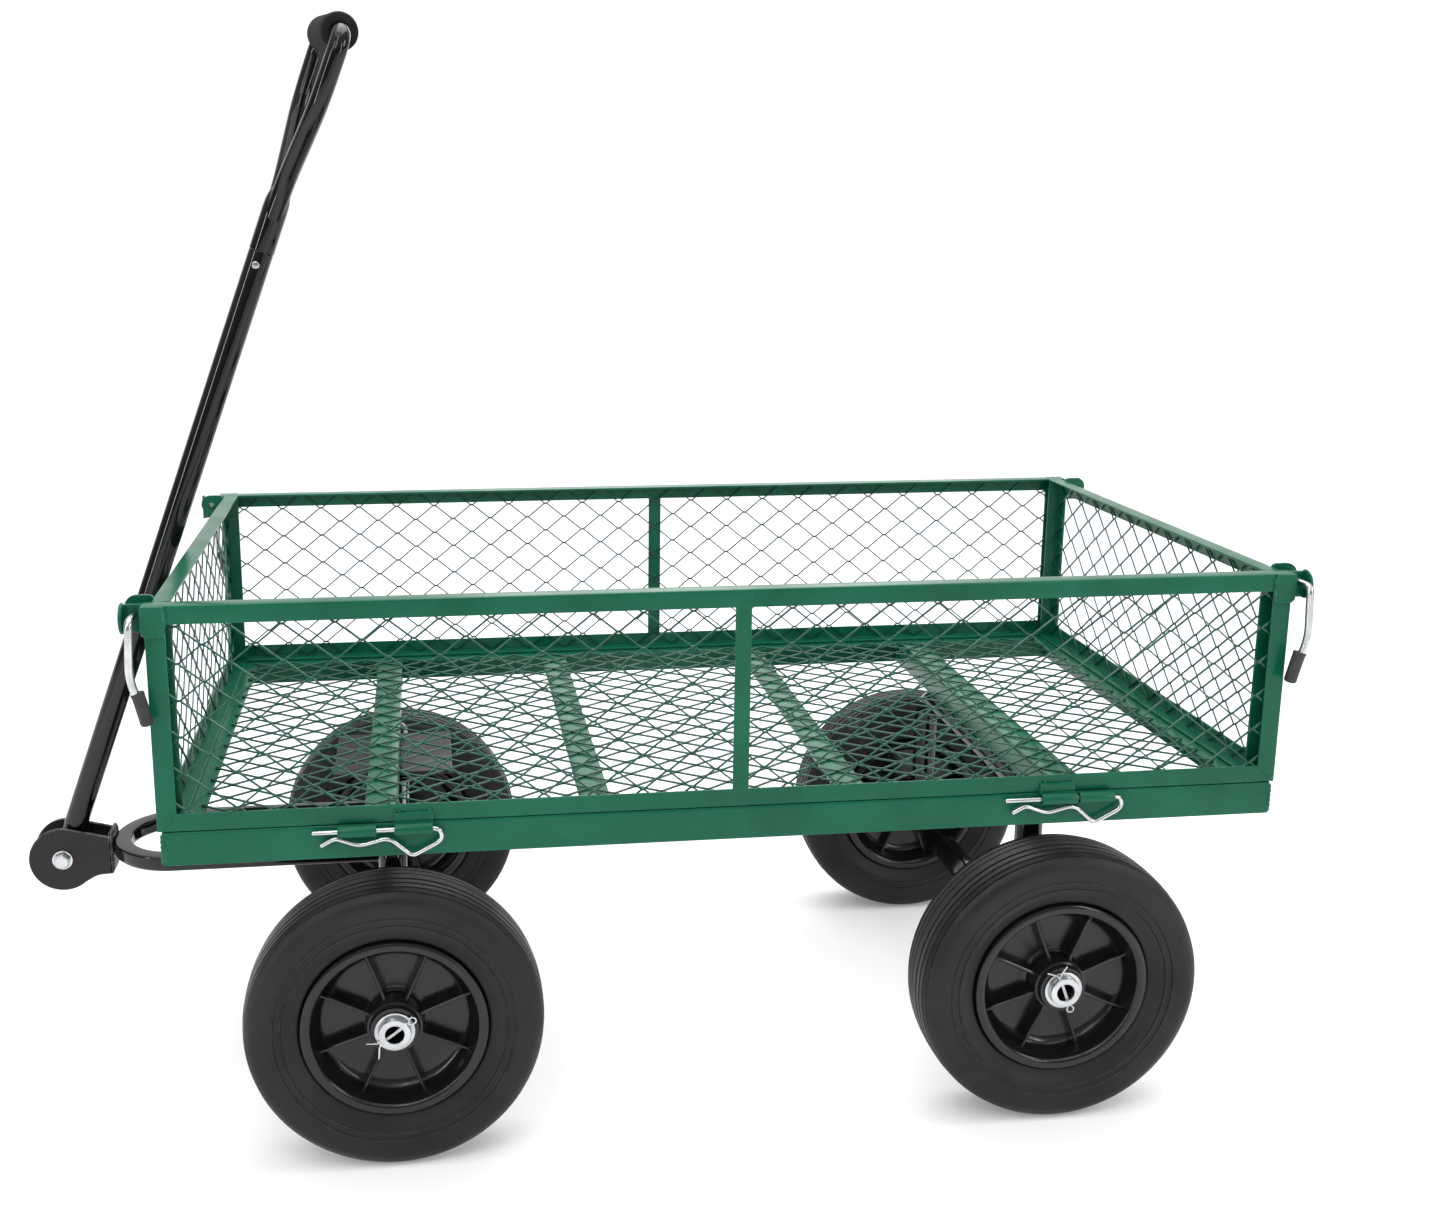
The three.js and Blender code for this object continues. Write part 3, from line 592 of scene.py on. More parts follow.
def latch_bracket(end, out):
    """A folded cap on the frame's corner, its lug, and the round ear outside it, cut off in line with
    the lug. The ear's outline is a circle whose inboard side stops at the lug."""
    cap_x, cap_y = SIDE_HALF["long"] + 2.3, -out - 1.8
    low, high, chamfer = SIDE_TOP - 25, SIDE_TOP, 3.0
    outline = rounded([(0, low), (18 - chamfer, low), (18, low + chamfer), (18, high), (0, high)],
                      [0.6, 0.8, 0.8, 1.2, 0.4], 2)
    outline[:, 0] = outline[:, 0] * end
    face = stood(plate(outline, 2.2, 0.5), (end * (cap_x - 18), cap_y + 1.1, 0), X, Z)
    wrap = slab((end * (cap_x - 2.4), cap_y + 0.6, low + 1.5), (end * cap_x, -out + 15, high - 0.3), 0.5)
    lug_y = -out + 12
    outer = LATCH_X + 9
    lug = slab((end * (cap_x - 1), lug_y, low + 1.5), (end * outer, lug_y + 3, high - 0.8), 0.5)
    disc = circle(12.5, 40)
    disc[:, 0] = np.minimum(disc[:, 0], lug_y + 3 - (-out + 12.4))
    ear = stood(plate(disc, 2.5, 0.6), (end * outer, -out + 12.4, SIDE_TOP - 12), Y, Z)
    seam_x = end * (cap_x - 18.3)
    welds = [bead((seam_x, cap_y + 1.4, low + 7), (seam_x, cap_y + 1.4, high - 6), 1.1),
             blob((end * (cap_x - 18.5), cap_y + 0.9, high - 6), 1.8),
             blob((end * (cap_x - 14), cap_y + 1.2, low - 0.6), 1.6)]
    return [face, wrap, lug, ear, *welds]


def end_ear(end, out):
    """A round-nosed plate with a hole. Round the hole's angle, its outline is a half circle outboard
    and a rounded rectangle inboard."""
    angle = np.linspace(0, 2 * np.pi, 36, endpoint=False)
    c, s = np.cos(angle), np.sin(angle)
    boxy = np.sign(s) * np.abs(s) ** 0.3
    outline = np.where((c >= 0)[:, None], 9.5 * np.stack([c, s], 1),
                       np.stack([-13.4 * np.abs(c) ** 0.3, 9.5 * boxy], 1))
    shell = pierced(outline, circle(4.4, 36) + (0, -2.5), 3.0)
    return stood(shell, (end * 220, -out - 12.5, LATCH_Z + 2.5), -Y, Z)


def side_frame(name, kind, turn):
    """The welded frame of a side: a middle post and latch brackets on a long one, ears on an end one,
    weld beads in the corners, and the hinge straps."""
    out = BED_OUT[kind]
    shells = [angle_frame(kind)]
    if kind == "long":
        shells.append(slab((-6.75, -out + 0.1, SIDE_BOTTOM + 1), (6.75, -out + 2.1, SIDE_TOP - 1), 0.5))
        shells += [shell for end in (-1, 1) for shell in latch_bracket(end, out)]
        for level, lift in ((SIDE_BOTTOM + 15, 1), (SIDE_TOP - 15, -1)):
            shells.append(bead((-6, -out + 2.4, level + lift), (6, -out + 2.4, level + lift), 1.1))
    else:
        shells += [end_ear(end, out) for end in (-1, 1)]
    for end in (-1, 1):
        for level, lift in ((SIDE_BOTTOM, 1), (SIDE_TOP, -1)):
            corner = np.array([end * SIDE_HALF[kind], -out - 0.05, level])
            inner = corner + np.array([-end * 15.0, 0, lift * 14.0])
            shells.append(bead(corner + np.array([-end * 2.5, 0, lift * 2.5]), inner, 1.1, 3.6))
    for _, side_x, _ in HINGES[kind]:
        shells += hinge_strap(side_x, out)
    piece(f"{name}_frame", in_place(shells, turn), GREEN, side_body(name), [f"{name}_side_frame"])


def expanded_sheet(width, height, pitch, strand, thick):
    """An expanded sheet in the XZ plane, centred. Each strand zigzags between two heights half a
    diamond apart, with a short level run at each knot, where it meets its neighbour's. Its section is a
    rectangle, wider in the knots, and strands lean alternately so that the sheet isn't flat."""
    columns = 2 * int(round(width / pitch[0]))
    rows = 2 * int(round(height / pitch[1]))
    step_x, step_z = width / columns, height / rows
    knot = 1.1
    j = np.arange(columns + 1)
    x = np.stack([j * step_x - knot, j * step_x - knot * 0.4, j * step_x + knot * 0.4, j * step_x + knot], 1)
    x = np.clip(x - width / 2, -width / 2, width / 2)
    row = np.arange(rows)[:, None]
    high = (j[None] + row) % 2
    z = (row + high) * step_z - height / 2
    widening = np.tile([1.0, 1.35, 1.35, 1.0], columns + 1)
    towards = np.repeat(1 - 2 * high, 4, axis=1)
    line_x = np.broadcast_to(x.ravel(), (rows, x.size))
    line_z = np.repeat(z, 4, axis=1)
    slope = np.gradient(line_z, axis=1) / np.maximum(np.gradient(line_x, axis=1), 0.3)
    tilt = np.arctan(np.clip(slope, -1.2, 1.2))
    half_w, half_t = strand / 2 * widening, thick / 2
    lean = towards * thick * 0.32
    points = np.empty((rows, x.size, 4, 3))
    for k, (across, deep) in enumerate([(-1, -1), (1, -1), (1, 1), (-1, 1)]):
        points[:, :, k, 0] = line_x - np.sin(tilt) * across * half_w
        points[:, :, k, 1] = deep * half_t + lean + across * thick * 0.12
        points[:, :, k, 2] = line_z + np.cos(tilt) * across * half_w
    points[..., 0] = np.clip(points[..., 0], -width / 2, width / 2)
    points[..., 2] = np.clip(points[..., 2], -height / 2, height / 2)
    return [grid(strand_points) for strand_points in points]


SIDE_DIAMOND = (41.0, 30.4)
FLOOR_DIAMOND = (41.0, 30.5)


def side_mesh(name, kind, turn):
    """The expanded sheet of a side, stood just behind its frame."""
    half, out = SIDE_HALF[kind] - MESH_INSET, BED_OUT[kind]
    height = SIDE_TOP - SIDE_BOTTOM - 2 * MESH_INSET
    centre = (0, -out + MESH_INSET + 1.0, (SIDE_TOP + SIDE_BOTTOM) / 2)
    sheet = moved(expanded_sheet(2 * half, height, SIDE_DIAMOND, 1.25, 1.3), None, centre)
    piece(f"{name}_strands", in_place(sheet, turn), GREEN_MESH, side_body(name),
          [f"{name}_side_mesh"], sharp=50)


CLIP_LINE = [(0, 0), (96, 0), (102.5, -1.5), (104.5, -8), (101, -12.5), (80, -23.5), (63.5, -8.5),
             (57, -7.6), (37.5, -12.6), (20, -5.8), (16.5, -6.2), (6.5, -11.5)]
CLIP_BENDS = [0, 5, 3, 3, 3, 4.5, 4, 3, 6, 2, 2, 0]


def hinge_clips(name, kind, turn):
    """A wire clip: its long leg is the hinge pin, and the waved leg below snaps over the barrels."""
    out = BED_OUT[kind]
    flat = rounded(CLIP_LINE, CLIP_BENDS, 5, closed=False)
    flat = np.insert(flat, 1, [[30, 0], [60, 0]], axis=0)
    for number, (_, _, clip_x) in enumerate(HINGES[kind], 1):
        path = np.c_[clip_x + flat[:, 0], np.full(len(flat), -out - HINGE_OUT), HINGE_Z + flat[:, 1]]
        wire = rod(path, HINGE_PIN_RADIUS, Y, 16, 0.6)
        piece(f"{name}_clip_{number}", in_place([wire], turn), ZINC, "bed",
              [f"{name}_hinge_clip_{number}"])


def latch(side, turn, end):
    """A bent rod through the lug, with a rubber tip on its lever."""
    out = BED_OUT["long"]
    outer = -out - 11.5
    where = "front" if end * math.cos(turn) < 0 else "rear"
    body = f"latch_{where}_{side}"
    line = rounded([(LATCH_X, -out + 15.1, LATCH_Z), (LATCH_X, outer, LATCH_Z),
                    (LATCH_X + 2, outer, LATCH_Z - 44), (LATCH_X - 5, outer + 1.5, LATCH_Z - 71)],
                   [0, 7, 9, 0], 8, closed=False)
    tip = np.array([(LATCH_X - 3.0, outer + 1.1, LATCH_Z - 57), (LATCH_X - 5, outer + 1.6, LATCH_Z - 65),
                    (LATCH_X - 7, outer + 2.0, LATCH_Z - 74), (LATCH_X - 9.2, outer + 2.4, LATCH_Z - 84)])
    line, tip = line * (end, 1, 1), tip * (end, 1, 1)
    lever = rod(line, LATCH_ROD_RADIUS, X, 20, 0.35)
    piece(f"{body}_rod", in_place([lever], turn), ZINC, body, [f"latch_rod_{where}_{side}"])
    cover = rod(tip, LATCH_TIP_RADIUS, Y, 24, 0.45)
    lip = turned(rounded([(3.3, -1.2), (5.5, -1.2), (5.5, 1.2), (3.3, 1.2)], 0.5, 2), (0, 0, 0), 2, 24)
    lean = (tip[0] - tip[1]) / np.linalg.norm(tip[0] - tip[1])
    across = np.cross(Y, lean)
    lip = moved([lip], np.stack([across, np.cross(lean, across), lean], 1), tip[0] - lean * 1.4)
    piece(f"{body}_tip", in_place([cover, *lip], turn), TIP, body, [f"latch_tip_{where}_{side}"])


def floor():
    """Strips with rounded edges, and the expanded sheet laid flat on them."""
    for number in range(1, 5):
        low, high = cad(f"floor_strip_{number}")
        piece(f"strip_{number}", [slab(low, high, 0.5)], GREEN, "bed", [f"floor_strip_{number}"])
    low, high = cad("floor_mesh")
    margin = 12.0
    shells = expanded_sheet(high[0] - low[0] - margin, high[1] - low[1] - margin, FLOOR_DIAMOND, 1.3, 1.2)
    lay_flat = np.array([(1, 0, 0), (0, 0, 1), (0, 1, 0)], float)
    centre = (cad_middle("floor_mesh")[0], 0, low[2] + 0.9)
    piece("floor_strands", moved(shells, lay_flat, centre), GREEN_MESH, "bed", ["floor_mesh"], sharp=50)


def box_beam(low, high):
    """A square tube: a rounded square section, outer and inner, carried from end to end."""
    wide, tall = high[0] - low[0], high[2] - low[2]
    outer, inner = rectangle(wide, tall, 2.0, 3), rectangle(wide - 4, tall - 4, 1.0, 3)
    ends = ((outer, low[1]), (outer, high[1]), (inner, high[1]), (inner, low[1]))
    centre = ((low[0] + high[0]) / 2, (low[2] + high[2]) / 2)
    rings = [np.c_[line[:, 0] + centre[0], np.full(len(line), y), line[:, 1] + centre[1]]
             for line, y in ends]
    return grid(np.stack(rings), wrap_u=True)


def beams():
    """The two cross beams, and the plate under the front one that the turntable turns against."""
    low, high = cad("rear_cross_beam")
    piece("rear_beam", [box_beam(low, high)], GREEN, "bed", ["rear_cross_beam"])
    front_low, front_high = cad("front_cross_beam")
    middle = cad_middle("floor_strip_1")[0]
    beam = box_beam(np.array([middle - 13, front_low[1], low[2]]),
                    np.array([middle + 13, front_high[1], high[2]]))
    piece("front_beam", [beam], GREEN, "bed", ["front_cross_beam"])
    turntable = slab((front_low[0], -55, front_low[2]), (front_high[0], 55, low[2] - 0.1), 0.8)
    seams = [bead((middle + end * 14, -48, low[2] + 0.8), (middle + end * 14, 48, low[2] + 0.8), 1.6)
             for end in (-1, 1)]
    piece("turntable_plate", [turntable, *seams], SATIN_PLATE, "bed")


# ------------------------ wheels and axles

def tyre_profile():
    """Half the tyre from the middle of the tread to the bead, mirrored: a tread with four grooves, a
    rounded shoulder, two fine rings on the side wall and a hollow that falls to the rim."""
    r = WHEEL_RADIUS
    half = [(r, 0.0)]
    for groove_h, drop in ((4.6, 0.0), (12.4, 0.2), (19.2, 1.0), (24.6, 2.8)):
        top = r - drop
        half += [(top, groove_h - 0.8), (top - 1.8, groove_h - 0.3), (top - 1.9, groove_h + 0.9),
                 (top - 0.3, groove_h + 1.5)]
    half += [(r - 4.4, 27.4), (r - 6.6, 29.4), (r - 9.6, 30.8), (r - 13.0, 31.5), (r - 17, 31.45),
             (r - 22, 31.0)]
    for ring_r, level in ((101.5, 30.7), (95.0, 29.9)):
        half += [(ring_r + 1.2, level), (ring_r + 0.6, level + 0.95), (ring_r - 0.4, level + 0.95),
                 (ring_r - 1.1, level - 0.5)]
    half += [(92.5, 29.0), (90.0, 28.0), (87.2, 26.2), (84.5, 24.9), (82.0, 24.3), (80.4, 23.4), (79.6, 21.5),
             (79.2, 18.0)]
    half = np.array(half)
    return np.vstack([half, (half * (1, -1))[:0:-1]])


def rim_profile():
    """Half the rim from its outer lip down the dish to the hub boss and the bore, mirrored."""
    half = [(78.9, 18.0), (78.9, 24.8), (78.5, 26.4), (77.2, 27.2), (74.5, 27.4), (72.0, 27.0), (70.6, 26.0),
            (69.6, 24.0), (68.4, 18.5), (66.9, 13.0), (65.0, 9.0), (62.4, 6.2), (59.0, 4.6), (55.0, 4.0),
            (30.0, 4.0), (26.5, 4.3), (25.0, 5.2), (24.3, 7.0), (23.6, 21.0), (23.2, 22.6), (21.6, 23.4),
            (21.2, 24.2), (20.9, 27.4), (20.3, 28.3), (19.4, 28.5), (17.4, 28.5), (16.6, 28.2), (14.6, 27.8),
            (13.9, 27.0)]
    half = np.array(half)
    return np.vstack([half, (half * (1, -1))[::-1]])


def rib(angle):
    """A thin web of the rim: a flat outline in radius and height, which dips towards the dish's wall."""
    top = [(22.5, 17.5), (30.0, 17.0), (52.0, 15.5), (68.4, 15.0)]
    outline = rounded(top + [(r, -h) for r, h in reversed(top)], 0.4, 1)
    return stood(plate(outline, 2.8, 0.7), (0, 0, 0), (math.cos(angle), 0, math.sin(angle)), Y)


def wheel(end, side, sign):
    """A tyre on a rim with eight ribs in its dish."""
    centre = np.array([AXLE_X[end], sign * WHEEL_Y, AXLE_Z])
    body = f"wheel_{end}_{side}"
    piece(f"{body}_tyre", [turned(tyre_profile(), centre, 1, 144)], TYRE, body,
          [f"tyre_{end}_{side}"], sharp=40)
    ribs = [rib(0.35 + k * math.pi / 4) for k in range(8)]
    shells = [turned(rim_profile(), centre, 1, 96), *moved(ribs, None, centre)]
    piece(f"{body}_rim", shells, RIM, body, [f"rim_{end}_{side}"])


COTTER_TURN = {"front": -0.62, "rear": 1.22}


def cotter(end, side, sign):
    """A split pin: two half wires that share an eye, go through the axle side by side, and splay."""
    turn = np.linspace(-2.5, 2.5, 17)
    eye = np.stack([18.3 + 3.0 * np.cos(turn), np.zeros(17), 3.0 * np.sin(turn)], 1)
    lower = np.array([(14.4, 0, -0.6), (0, 0, -0.6), (-14.5, 0, -0.7), (-17.5, -0.4, -2.2),
                      (-24, -1.4, -10.0)])
    upper = np.array([(-23.5, -2.2, 8.5), (-17.5, -0.4, 2.2), (-14.5, 0, 0.7), (0, 0, 0.6), (14.4, 0, 0.6)])
    path = np.vstack([upper, eye[::-1], lower])
    wire = rod(path, 0.8, Y, 10, 0.8)
    spin = turn_about("Y", COTTER_TURN[end])
    flip = turn_about("Z", math.pi) if sign > 0 else np.eye(3)
    centre = (AXLE_X[end], sign * (AXLE_HALF - 3.4), AXLE_Z)
    body = "bed" if end == "rear" else "front_axle"
    piece(f"{end}_{side}_cotter", moved([wire], spin @ flip, centre), ZINC, body,
          [f"cotter_pin_{end}_{side}"])
    washer = turned(collar(AXLE_RADIUS + 0.1, 17.0, 1.4, 0.3), centre - sign * Y * 2.8, 1, 40)
    piece(f"{end}_{side}_washer", [washer], ZINC, body)


def saddle_weld(y):
    """The weld round a leg where it stands on the axle: the curve that an upright round leg and a level
    round axle share, so its height is the root of the axle's radius squared less x squared."""
    angle = np.linspace(0, 2 * np.pi, 49)
    x, along = (LEG_RADIUS + 0.6) * np.cos(angle), (LEG_RADIUS + 0.6) * np.sin(angle)
    z = np.sqrt(np.maximum(AXLE_RADIUS ** 2 - x ** 2, 0.5)) + 0.4
    size = 1 + 0.18 * np.abs(np.sin(angle * 14))
    path = np.stack([x, y + along, z], 1)
    return swept(path, circle(1.8, 10), Z + 0.001 * X, size)


def axle_frame(top):
    """An inverted U of round tube on the axle, with a weld round the foot of each leg."""
    foot, bend = 6.0, 34.0
    path = rounded([(0, -LEG_Y, foot), (0, -LEG_Y, top - AXLE_Z), (0, LEG_Y, top - AXLE_Z), (0, LEG_Y, foot)],
                   [0, bend, bend, 0], 14, closed=False)
    hoop = swept(path, circle(LEG_RADIUS, 36), X)
    return [hoop, saddle_weld(-LEG_Y), saddle_weld(LEG_Y)]


def axles():
    """Both axles with their wheels, pins and hoops, and the kingpin that the front one turns on."""
    hub_face = WHEEL_Y - HUB_HALF
    middle = collar(AXLE_BORE, AXLE_RADIUS, 2 * hub_face, 0.4)
    stub = collar(AXLE_BORE, AXLE_RADIUS, AXLE_HALF - hub_face - 0.1, 0.8)
    stub_y = (AXLE_HALF + hub_face + 0.1) / 2
    for end, body in (("front", "front_axle"), ("rear", "bed")):
        bare = [turned(stub, (AXLE_X[end], sign * stub_y, AXLE_Z), 1, 56) for sign in (-1, 1)]
        piece(f"{end}_axle_ends", bare, ZINC, body, [f"{end}_axle"])
        piece(f"{end}_axle_tube", [turned(middle, (AXLE_X[end], 0, AXLE_Z), 1, 56)], BLACK, body)
        for side, sign in (("near", -1), ("far", 1)):
            cotter(end, side, sign)
            wheel(end, side, sign)
    rear = axle_frame(cad("rear_axle_frame")[1][2] - LEG_RADIUS)
    piece("rear_hoop", moved(rear, None, (AXLE_X["rear"], 0, AXLE_Z)), BLACK, "bed", ["rear_axle_frame"])
    front_top = 262.0
    disc_top = cad("front_axle_frame")[1][2]
    front = axle_frame(front_top)
    front.append(turned(collar(8.4, 50, 4.5, 0.8), (0, 0, disc_top - 2.25 - AXLE_Z), 2, 64))
    front.append(turned(collar(8.4, 14, 28, 0.8), (0, 0, front_top - AXLE_Z), 2, 40))
    front.append(turned(knob(10, 2 * LEG_Y, 0.4), (0, 0, TOW_Z - AXLE_Z), 1, 32))
    piece("front_hoop", moved(front, None, (AXLE_X["front"], 0, AXLE_Z)), BLACK, "front_axle",
          ["front_axle_frame"])
    low, high = cad("kingpin")
    x, _, z = cad_middle("kingpin")
    nut = stood(plate(circle(13, 6), 10, 1.2), (x, 0, low[2] + 10), X, Y)
    stud = turned(knob(7.7, high[2] - low[2] - 1, 1.0), (x, 0, z), 2, 32)
    flange = turned(knob(20, 3, 0.6), (x, 0, high[2] - 1.5), 2, 48)
    piece("kingpin_bolt", [nut, stud, flange], ZINC, "bed", ["kingpin"])


# ------------------------ tow bar, clevis and handle

def tow_bar():
    """A round-edged bar carried along two straight runs and the half circle that joins them."""
    low, high = cad("tow_bar")
    section = rounded([(-8, -7.5), (8, -7.5), (8, 7.5), (-8, 7.5)], [5.5, 5.5, 2.2, 2.2], 5)
    half = (high[1] - low[1]) / 2 - 8
    bend_x = low[0] + 8 + half
    angle = np.linspace(-np.pi / 2, np.pi / 2, 41)
    arc = np.stack([bend_x - half * np.cos(angle), half * np.sin(angle)], 1)
    straight = np.linspace(high[0], bend_x, 6)[:-1]
    line = np.vstack([np.c_[straight, np.full(5, -half)], arc, np.c_[straight[::-1], np.full(5, half)]])
    path = np.c_[line, np.full(len(line), TOW_Z)]
    bar = swept(path, section, Z)
    end_x, top_z = high[0] - 0.5, TOW_Z + 7
    ends = [bead((end_x, side * half - 8, top_z), (end_x, side * half + 8, top_z), 1.8) for side in (-1, 1)]
    piece("tow_loop", [bar, *ends], BLACK, "front_axle", ["tow_bar"])


def clevis():
    """Two ears with round noses and the web between their tails, welded to the tow bar."""
    low, high = cad("clevis")
    radius = PIVOT[0] - low[0]
    tail = high[0] - PIVOT[0]
    nose = np.linspace(1.242, 2 * np.pi - 0.86, 56)
    lower_edge = rounded([(22, -22.5), (31, -17.2), (tail - 1, -16.5)], [0, 5, 0], 4, closed=False)
    outline = np.vstack([[(tail, 20)], radius * np.stack([np.cos(nose), np.sin(nose)], 1), lower_edge])
    shells = [stood(plate(outline, 3.0, 0.6), (0, side * 13.5, 0), X, Z) for side in (-1, 1)]
    web = rectangle(30, 40.5, 2.0, 3) + (0, 3.7)
    shells.append(stood(plate(web, 3.0, 0.6), (tail - 1.5, 0, 0), Y, Z))
    for side in (-1, 1):
        shells.append(bead((tail - 0.2, side * 14.2, -14), (tail - 0.2, side * 14.2, 22), 1.5, 3.0))
    shells.append(bead((tail + 0.4, -9, 17.5), (tail + 0.4, 9, 17.5), 2.3, 3.2))
    shells.append(bead((tail + 0.4, -9, 2.0), (tail + 0.4, 9, 2.0), 2.0, 3.2))
    piece("clevis_plates", moved(shells, None, PIVOT), SATIN, "front_axle", ["clevis"])
    head_y, nut_y = -15.3 - 2.7, 15.3 + 3.2
    head = stood(plate(circle(8, 6, 0.3), 5.2, 0.9), (0, head_y, 0), X, Z)
    cap = turned(knob(6.2, 1.0, 0.45), (0, head_y - 2.9, 0), 1, 32)
    nut = stood(plate(circle(8, 6), 6.2, 0.9), (0, nut_y, 0), X, Z)
    shank = turned(knob(5, 42, 0.8), (0, 2.2, 0), 1, 28)
    washer = turned(collar(5.1, 9.4, 1.0, 0.2), (0, -15.6, 0), 1, 36)
    piece("clevis_screw", moved([head, cap, nut, shank, washer], None, PIVOT), ZINC, "front_axle",
          ["clevis_bolt"])


def handle():
    """The handle, drawn upright from its pivot, leant back, with its D loop twisted a little."""
    lean = turn_about("Y", HANDLE_LEAN)
    twist = lean @ turn_about("Z", HANDLE_TWIST)
    sleeve = turned(collar(5.3, 14, 23.4, 1.0))
    weld = turned(rounded([(10, 12.0), (12.6, 12.2), (11.6, 15.6), (10, 15.8)], 0.9, 3), (0, 0, 0), 2, 40)
    piece("handle_sleeve", moved([sleeve, weld], lean, PIVOT), BLACK, "handle", ["handle_pivot_sleeve"])
    joint, neck, reach = 604.0, 655.0, 805.0
    lower = turned(collar(9.5, 11, joint - 9.5, 0.6), (0, 0, (joint + 9.5) / 2), 2, 44)
    piece("handle_tube", moved([lower], lean, PIVOT), BLACK, "handle", ["handle_lower_tube"])
    sleeve_line = np.array([(11.3, joint + 0.3), (11.3, neck - 12), (11.0, neck - 4), (9.4, neck + 4),
                            (6.0, neck + 10), (0.02, neck + 12), (0.02, joint + 0.3)])
    socket = turned(rounded(sleeve_line, [0.6, 2, 3, 3, 2, 0, 0], 3), (0, 0, 0), 2, 44)
    half_loop = [(3, neck - 20), (9.5, neck + 14), (61, reach - 64), (66, reach - 2), (40, reach), (0, reach)]
    corners = [(0, -y, z) for y, z in half_loop] + [(0, y, z) for y, z in reversed(half_loop[:-1])]
    bends = [0, 18, 24, 20, 8, 0, 8, 20, 24, 18, 0]
    loop = swept(rounded(corners, bends, 12, closed=False), circle(8.5, 30), X)
    piece("handle_bow", moved([socket, loop], twist, PIVOT), BLACK, "handle", ["handle_loop"])
    grip_line = [(8.7, -45), (14.5, -45), (16.5, -43), (16.4, -20), (16.2, 0), (16.4, 20), (16.5, 43),
                 (14.5, 45), (8.7, 45)]
    grip = turned(rounded(grip_line, [0, 1.5, 2.5, 4, 4, 4, 2.5, 1.5, 0], 4), (0, 0, reach), 1, 48)
    foam = piece("handle_foam", moved([grip], twist, PIVOT), FOAM, "handle", ["handle_grip"])
    button = turned(knob(3.4, 3.2, 1.1), (0, -12.6, joint - 12), 1, 28)
    piece("handle_snap_button", moved([button], lean, PIVOT), ZINC, "handle", ["handle_button"])


# ------------------------ build

for side_name, (side_kind, side_turn) in SIDES.items():
    bed_rail(side_name, side_kind, side_turn)
    side_frame(side_name, side_kind, side_turn)
    side_mesh(side_name, side_kind, side_turn)
    hinge_clips(side_name, side_kind, side_turn)
    if side_kind == "long":
        for latch_end in (-1, 1):
            latch(side_name, side_turn, latch_end)
floor()
beams()
axles()
tow_bar()
clevis()
handle()


# ------------------------ floor, light and camera

def studio():
    """A large pale floor, a white surround, and soft lights above and beside the cart."""
    mesh = bpy.data.meshes.new("studio_floor")
    reach = 12.0
    mesh.from_pydata([(-reach, -reach, 0), (reach, -reach, 0), (reach, reach, 0), (-reach, reach, 0)], [],
                     [(0, 1, 2, 3)])
    ground = added("studio_floor", mesh)
    white = bpy.data.materials.new("studio_white")
    white.use_nodes = True
    shader = white.node_tree.nodes["Principled BSDF"]
    shader.inputs["Base Color"].default_value = (0.82, 0.82, 0.82, 1)
    shader.inputs["Roughness"].default_value = 0.9
    shader.inputs["Emission Color"].default_value = (1, 1, 1, 1)
    shader.inputs["Emission Strength"].default_value = 0.17
    mesh.materials.append(white)
    bpy.context.scene.world = surround()
    bpy.context.scene.view_settings.view_transform = "Standard"
    overhead = bpy.data.lights.new("overhead", "SUN")
    overhead.energy = 1.2
    overhead.angle = math.radians(70)
    added("overhead", overhead)
    for name, place, width, height, power in (
            ("key", (-1.7, -1.9, 2.3), 1.1, 1.1, 9),
            ("top", (0.2, 0.5, 2.6), 1.9, 1.9, 30),
            ("right", (2.4, -0.8, 1.5), 0.9, 0.9, 13),
            ("back", (0.6, 2.6, 1.8), 1.5, 1.5, 12),
            ("strip_left", (-2.3, -1.5, 1.1), 0.2, 1.5, 14),
            ("strip_right", (1.9, -2.2, 1.2), 0.2, 1.5, 12),
            ("strip_high", (-0.6, -1.7, 2.2), 0.2, 1.5, 8)):
        lamp = bpy.data.lights.new(name, "AREA")
        lamp.shape = "RECTANGLE"
        lamp.size = width
        lamp.size_y = height
        lamp.energy = power
        obj = added(name, lamp)
        obj.location = place
        aim = np.array([0.05, 0, 0.35]) - np.array(place)
        obj.rotation_euler = Matrix(np.stack(looking(aim), 1).tolist()).to_euler()


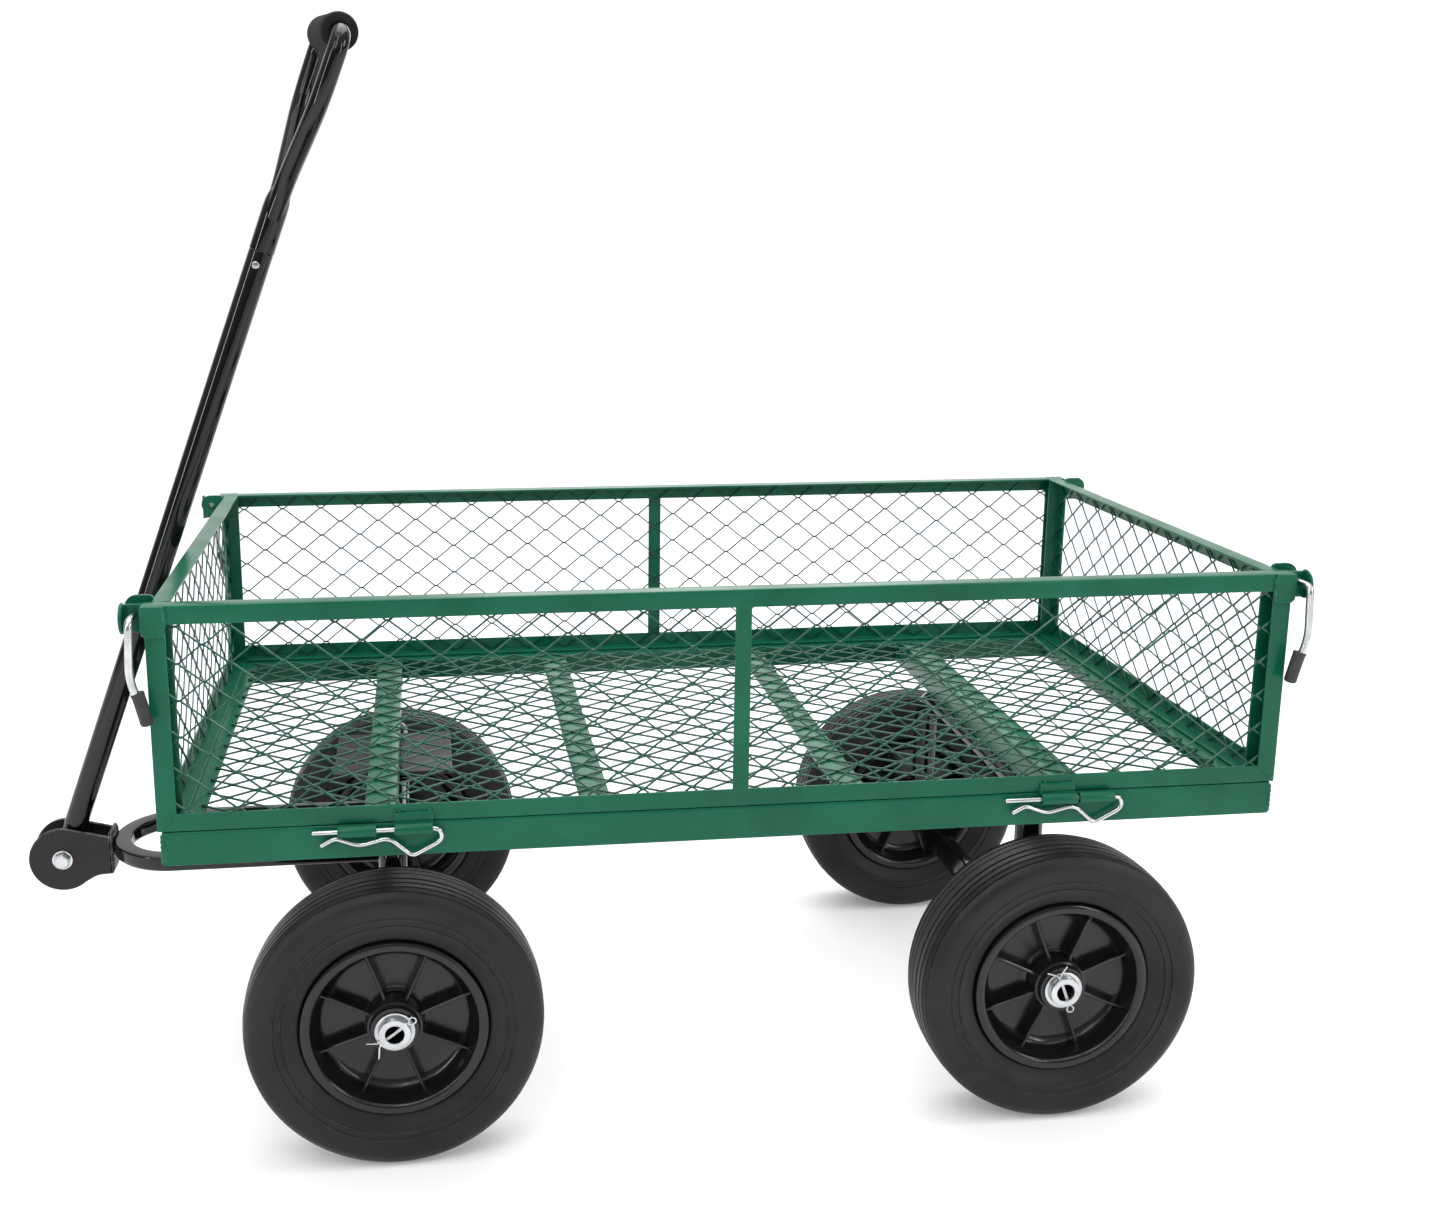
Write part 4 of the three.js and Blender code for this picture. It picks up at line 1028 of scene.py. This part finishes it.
def surround():
    """White where it is seen directly. As a light it is dim on the camera's side of the cart, and bright
    above it and behind it, like a pale backdrop."""
    world = bpy.data.worlds.new("studio_world")
    world.use_nodes = True
    tree = world.node_tree
    sky = tree.nodes["Background"]
    sky.inputs["Color"].default_value = (1, 1, 1, 1)
    direction = node(tree, "ShaderNodeTexCoord")
    parts = node(tree, "ShaderNodeSeparateXYZ", {"Vector": direction.outputs["Generated"]})
    glow = stretched(tree, parts.outputs["Z"], 0.0, 0.9, 0.13, 0.80)
    backdrop = stretched(tree, parts.outputs["Y"], 0.25, 0.85, 0.1, 1.1)
    brighter = node(tree, "ShaderNodeMath", {0: glow, 1: backdrop}, operation="MAXIMUM")
    path = node(tree, "ShaderNodeLightPath")
    seen = node(tree, "ShaderNodeMix", {"Factor": path.outputs["Is Camera Ray"], "A": brighter.outputs[0],
                                        "B": 1.0}, data_type="FLOAT")
    tree.links.new(seen.outputs[0], sky.inputs["Strength"])
    return world


def looking(direction):
    """Right, up and backward axes of something that looks along a direction, with Z up."""
    back = -np.asarray(direction, float) / np.linalg.norm(direction)
    right = np.cross(Z, back)
    right /= np.linalg.norm(right)
    return right, np.cross(back, right), back


CAMERA_PLACE = (-0.1809, -1.4345, 0.7970)
CAMERA_RIGHT = (0.99225, -0.12427, 0.00151)
CAMERA_FORWARD = (0.12178, 0.96985, -0.21109)


def camera():
    """Near the front left of the cart, a little above it, looking slightly down."""
    data = bpy.data.cameras.new("camera")
    obj = added("camera", data)
    right = np.array(CAMERA_RIGHT) / np.linalg.norm(CAMERA_RIGHT)
    forward = np.array(CAMERA_FORWARD) / np.linalg.norm(CAMERA_FORWARD)
    up = np.cross(right, forward)
    turn = Matrix(np.stack([right, up, -forward], 1).tolist()).to_4x4()
    turn.translation = np.array(CAMERA_PLACE)
    obj.matrix_world = turn
    data.sensor_width = 36.0
    data.lens = 38.33
    data.shift_x = 0.0724
    data.shift_y = -0.0457
    bpy.context.scene.camera = obj


studio()
camera()
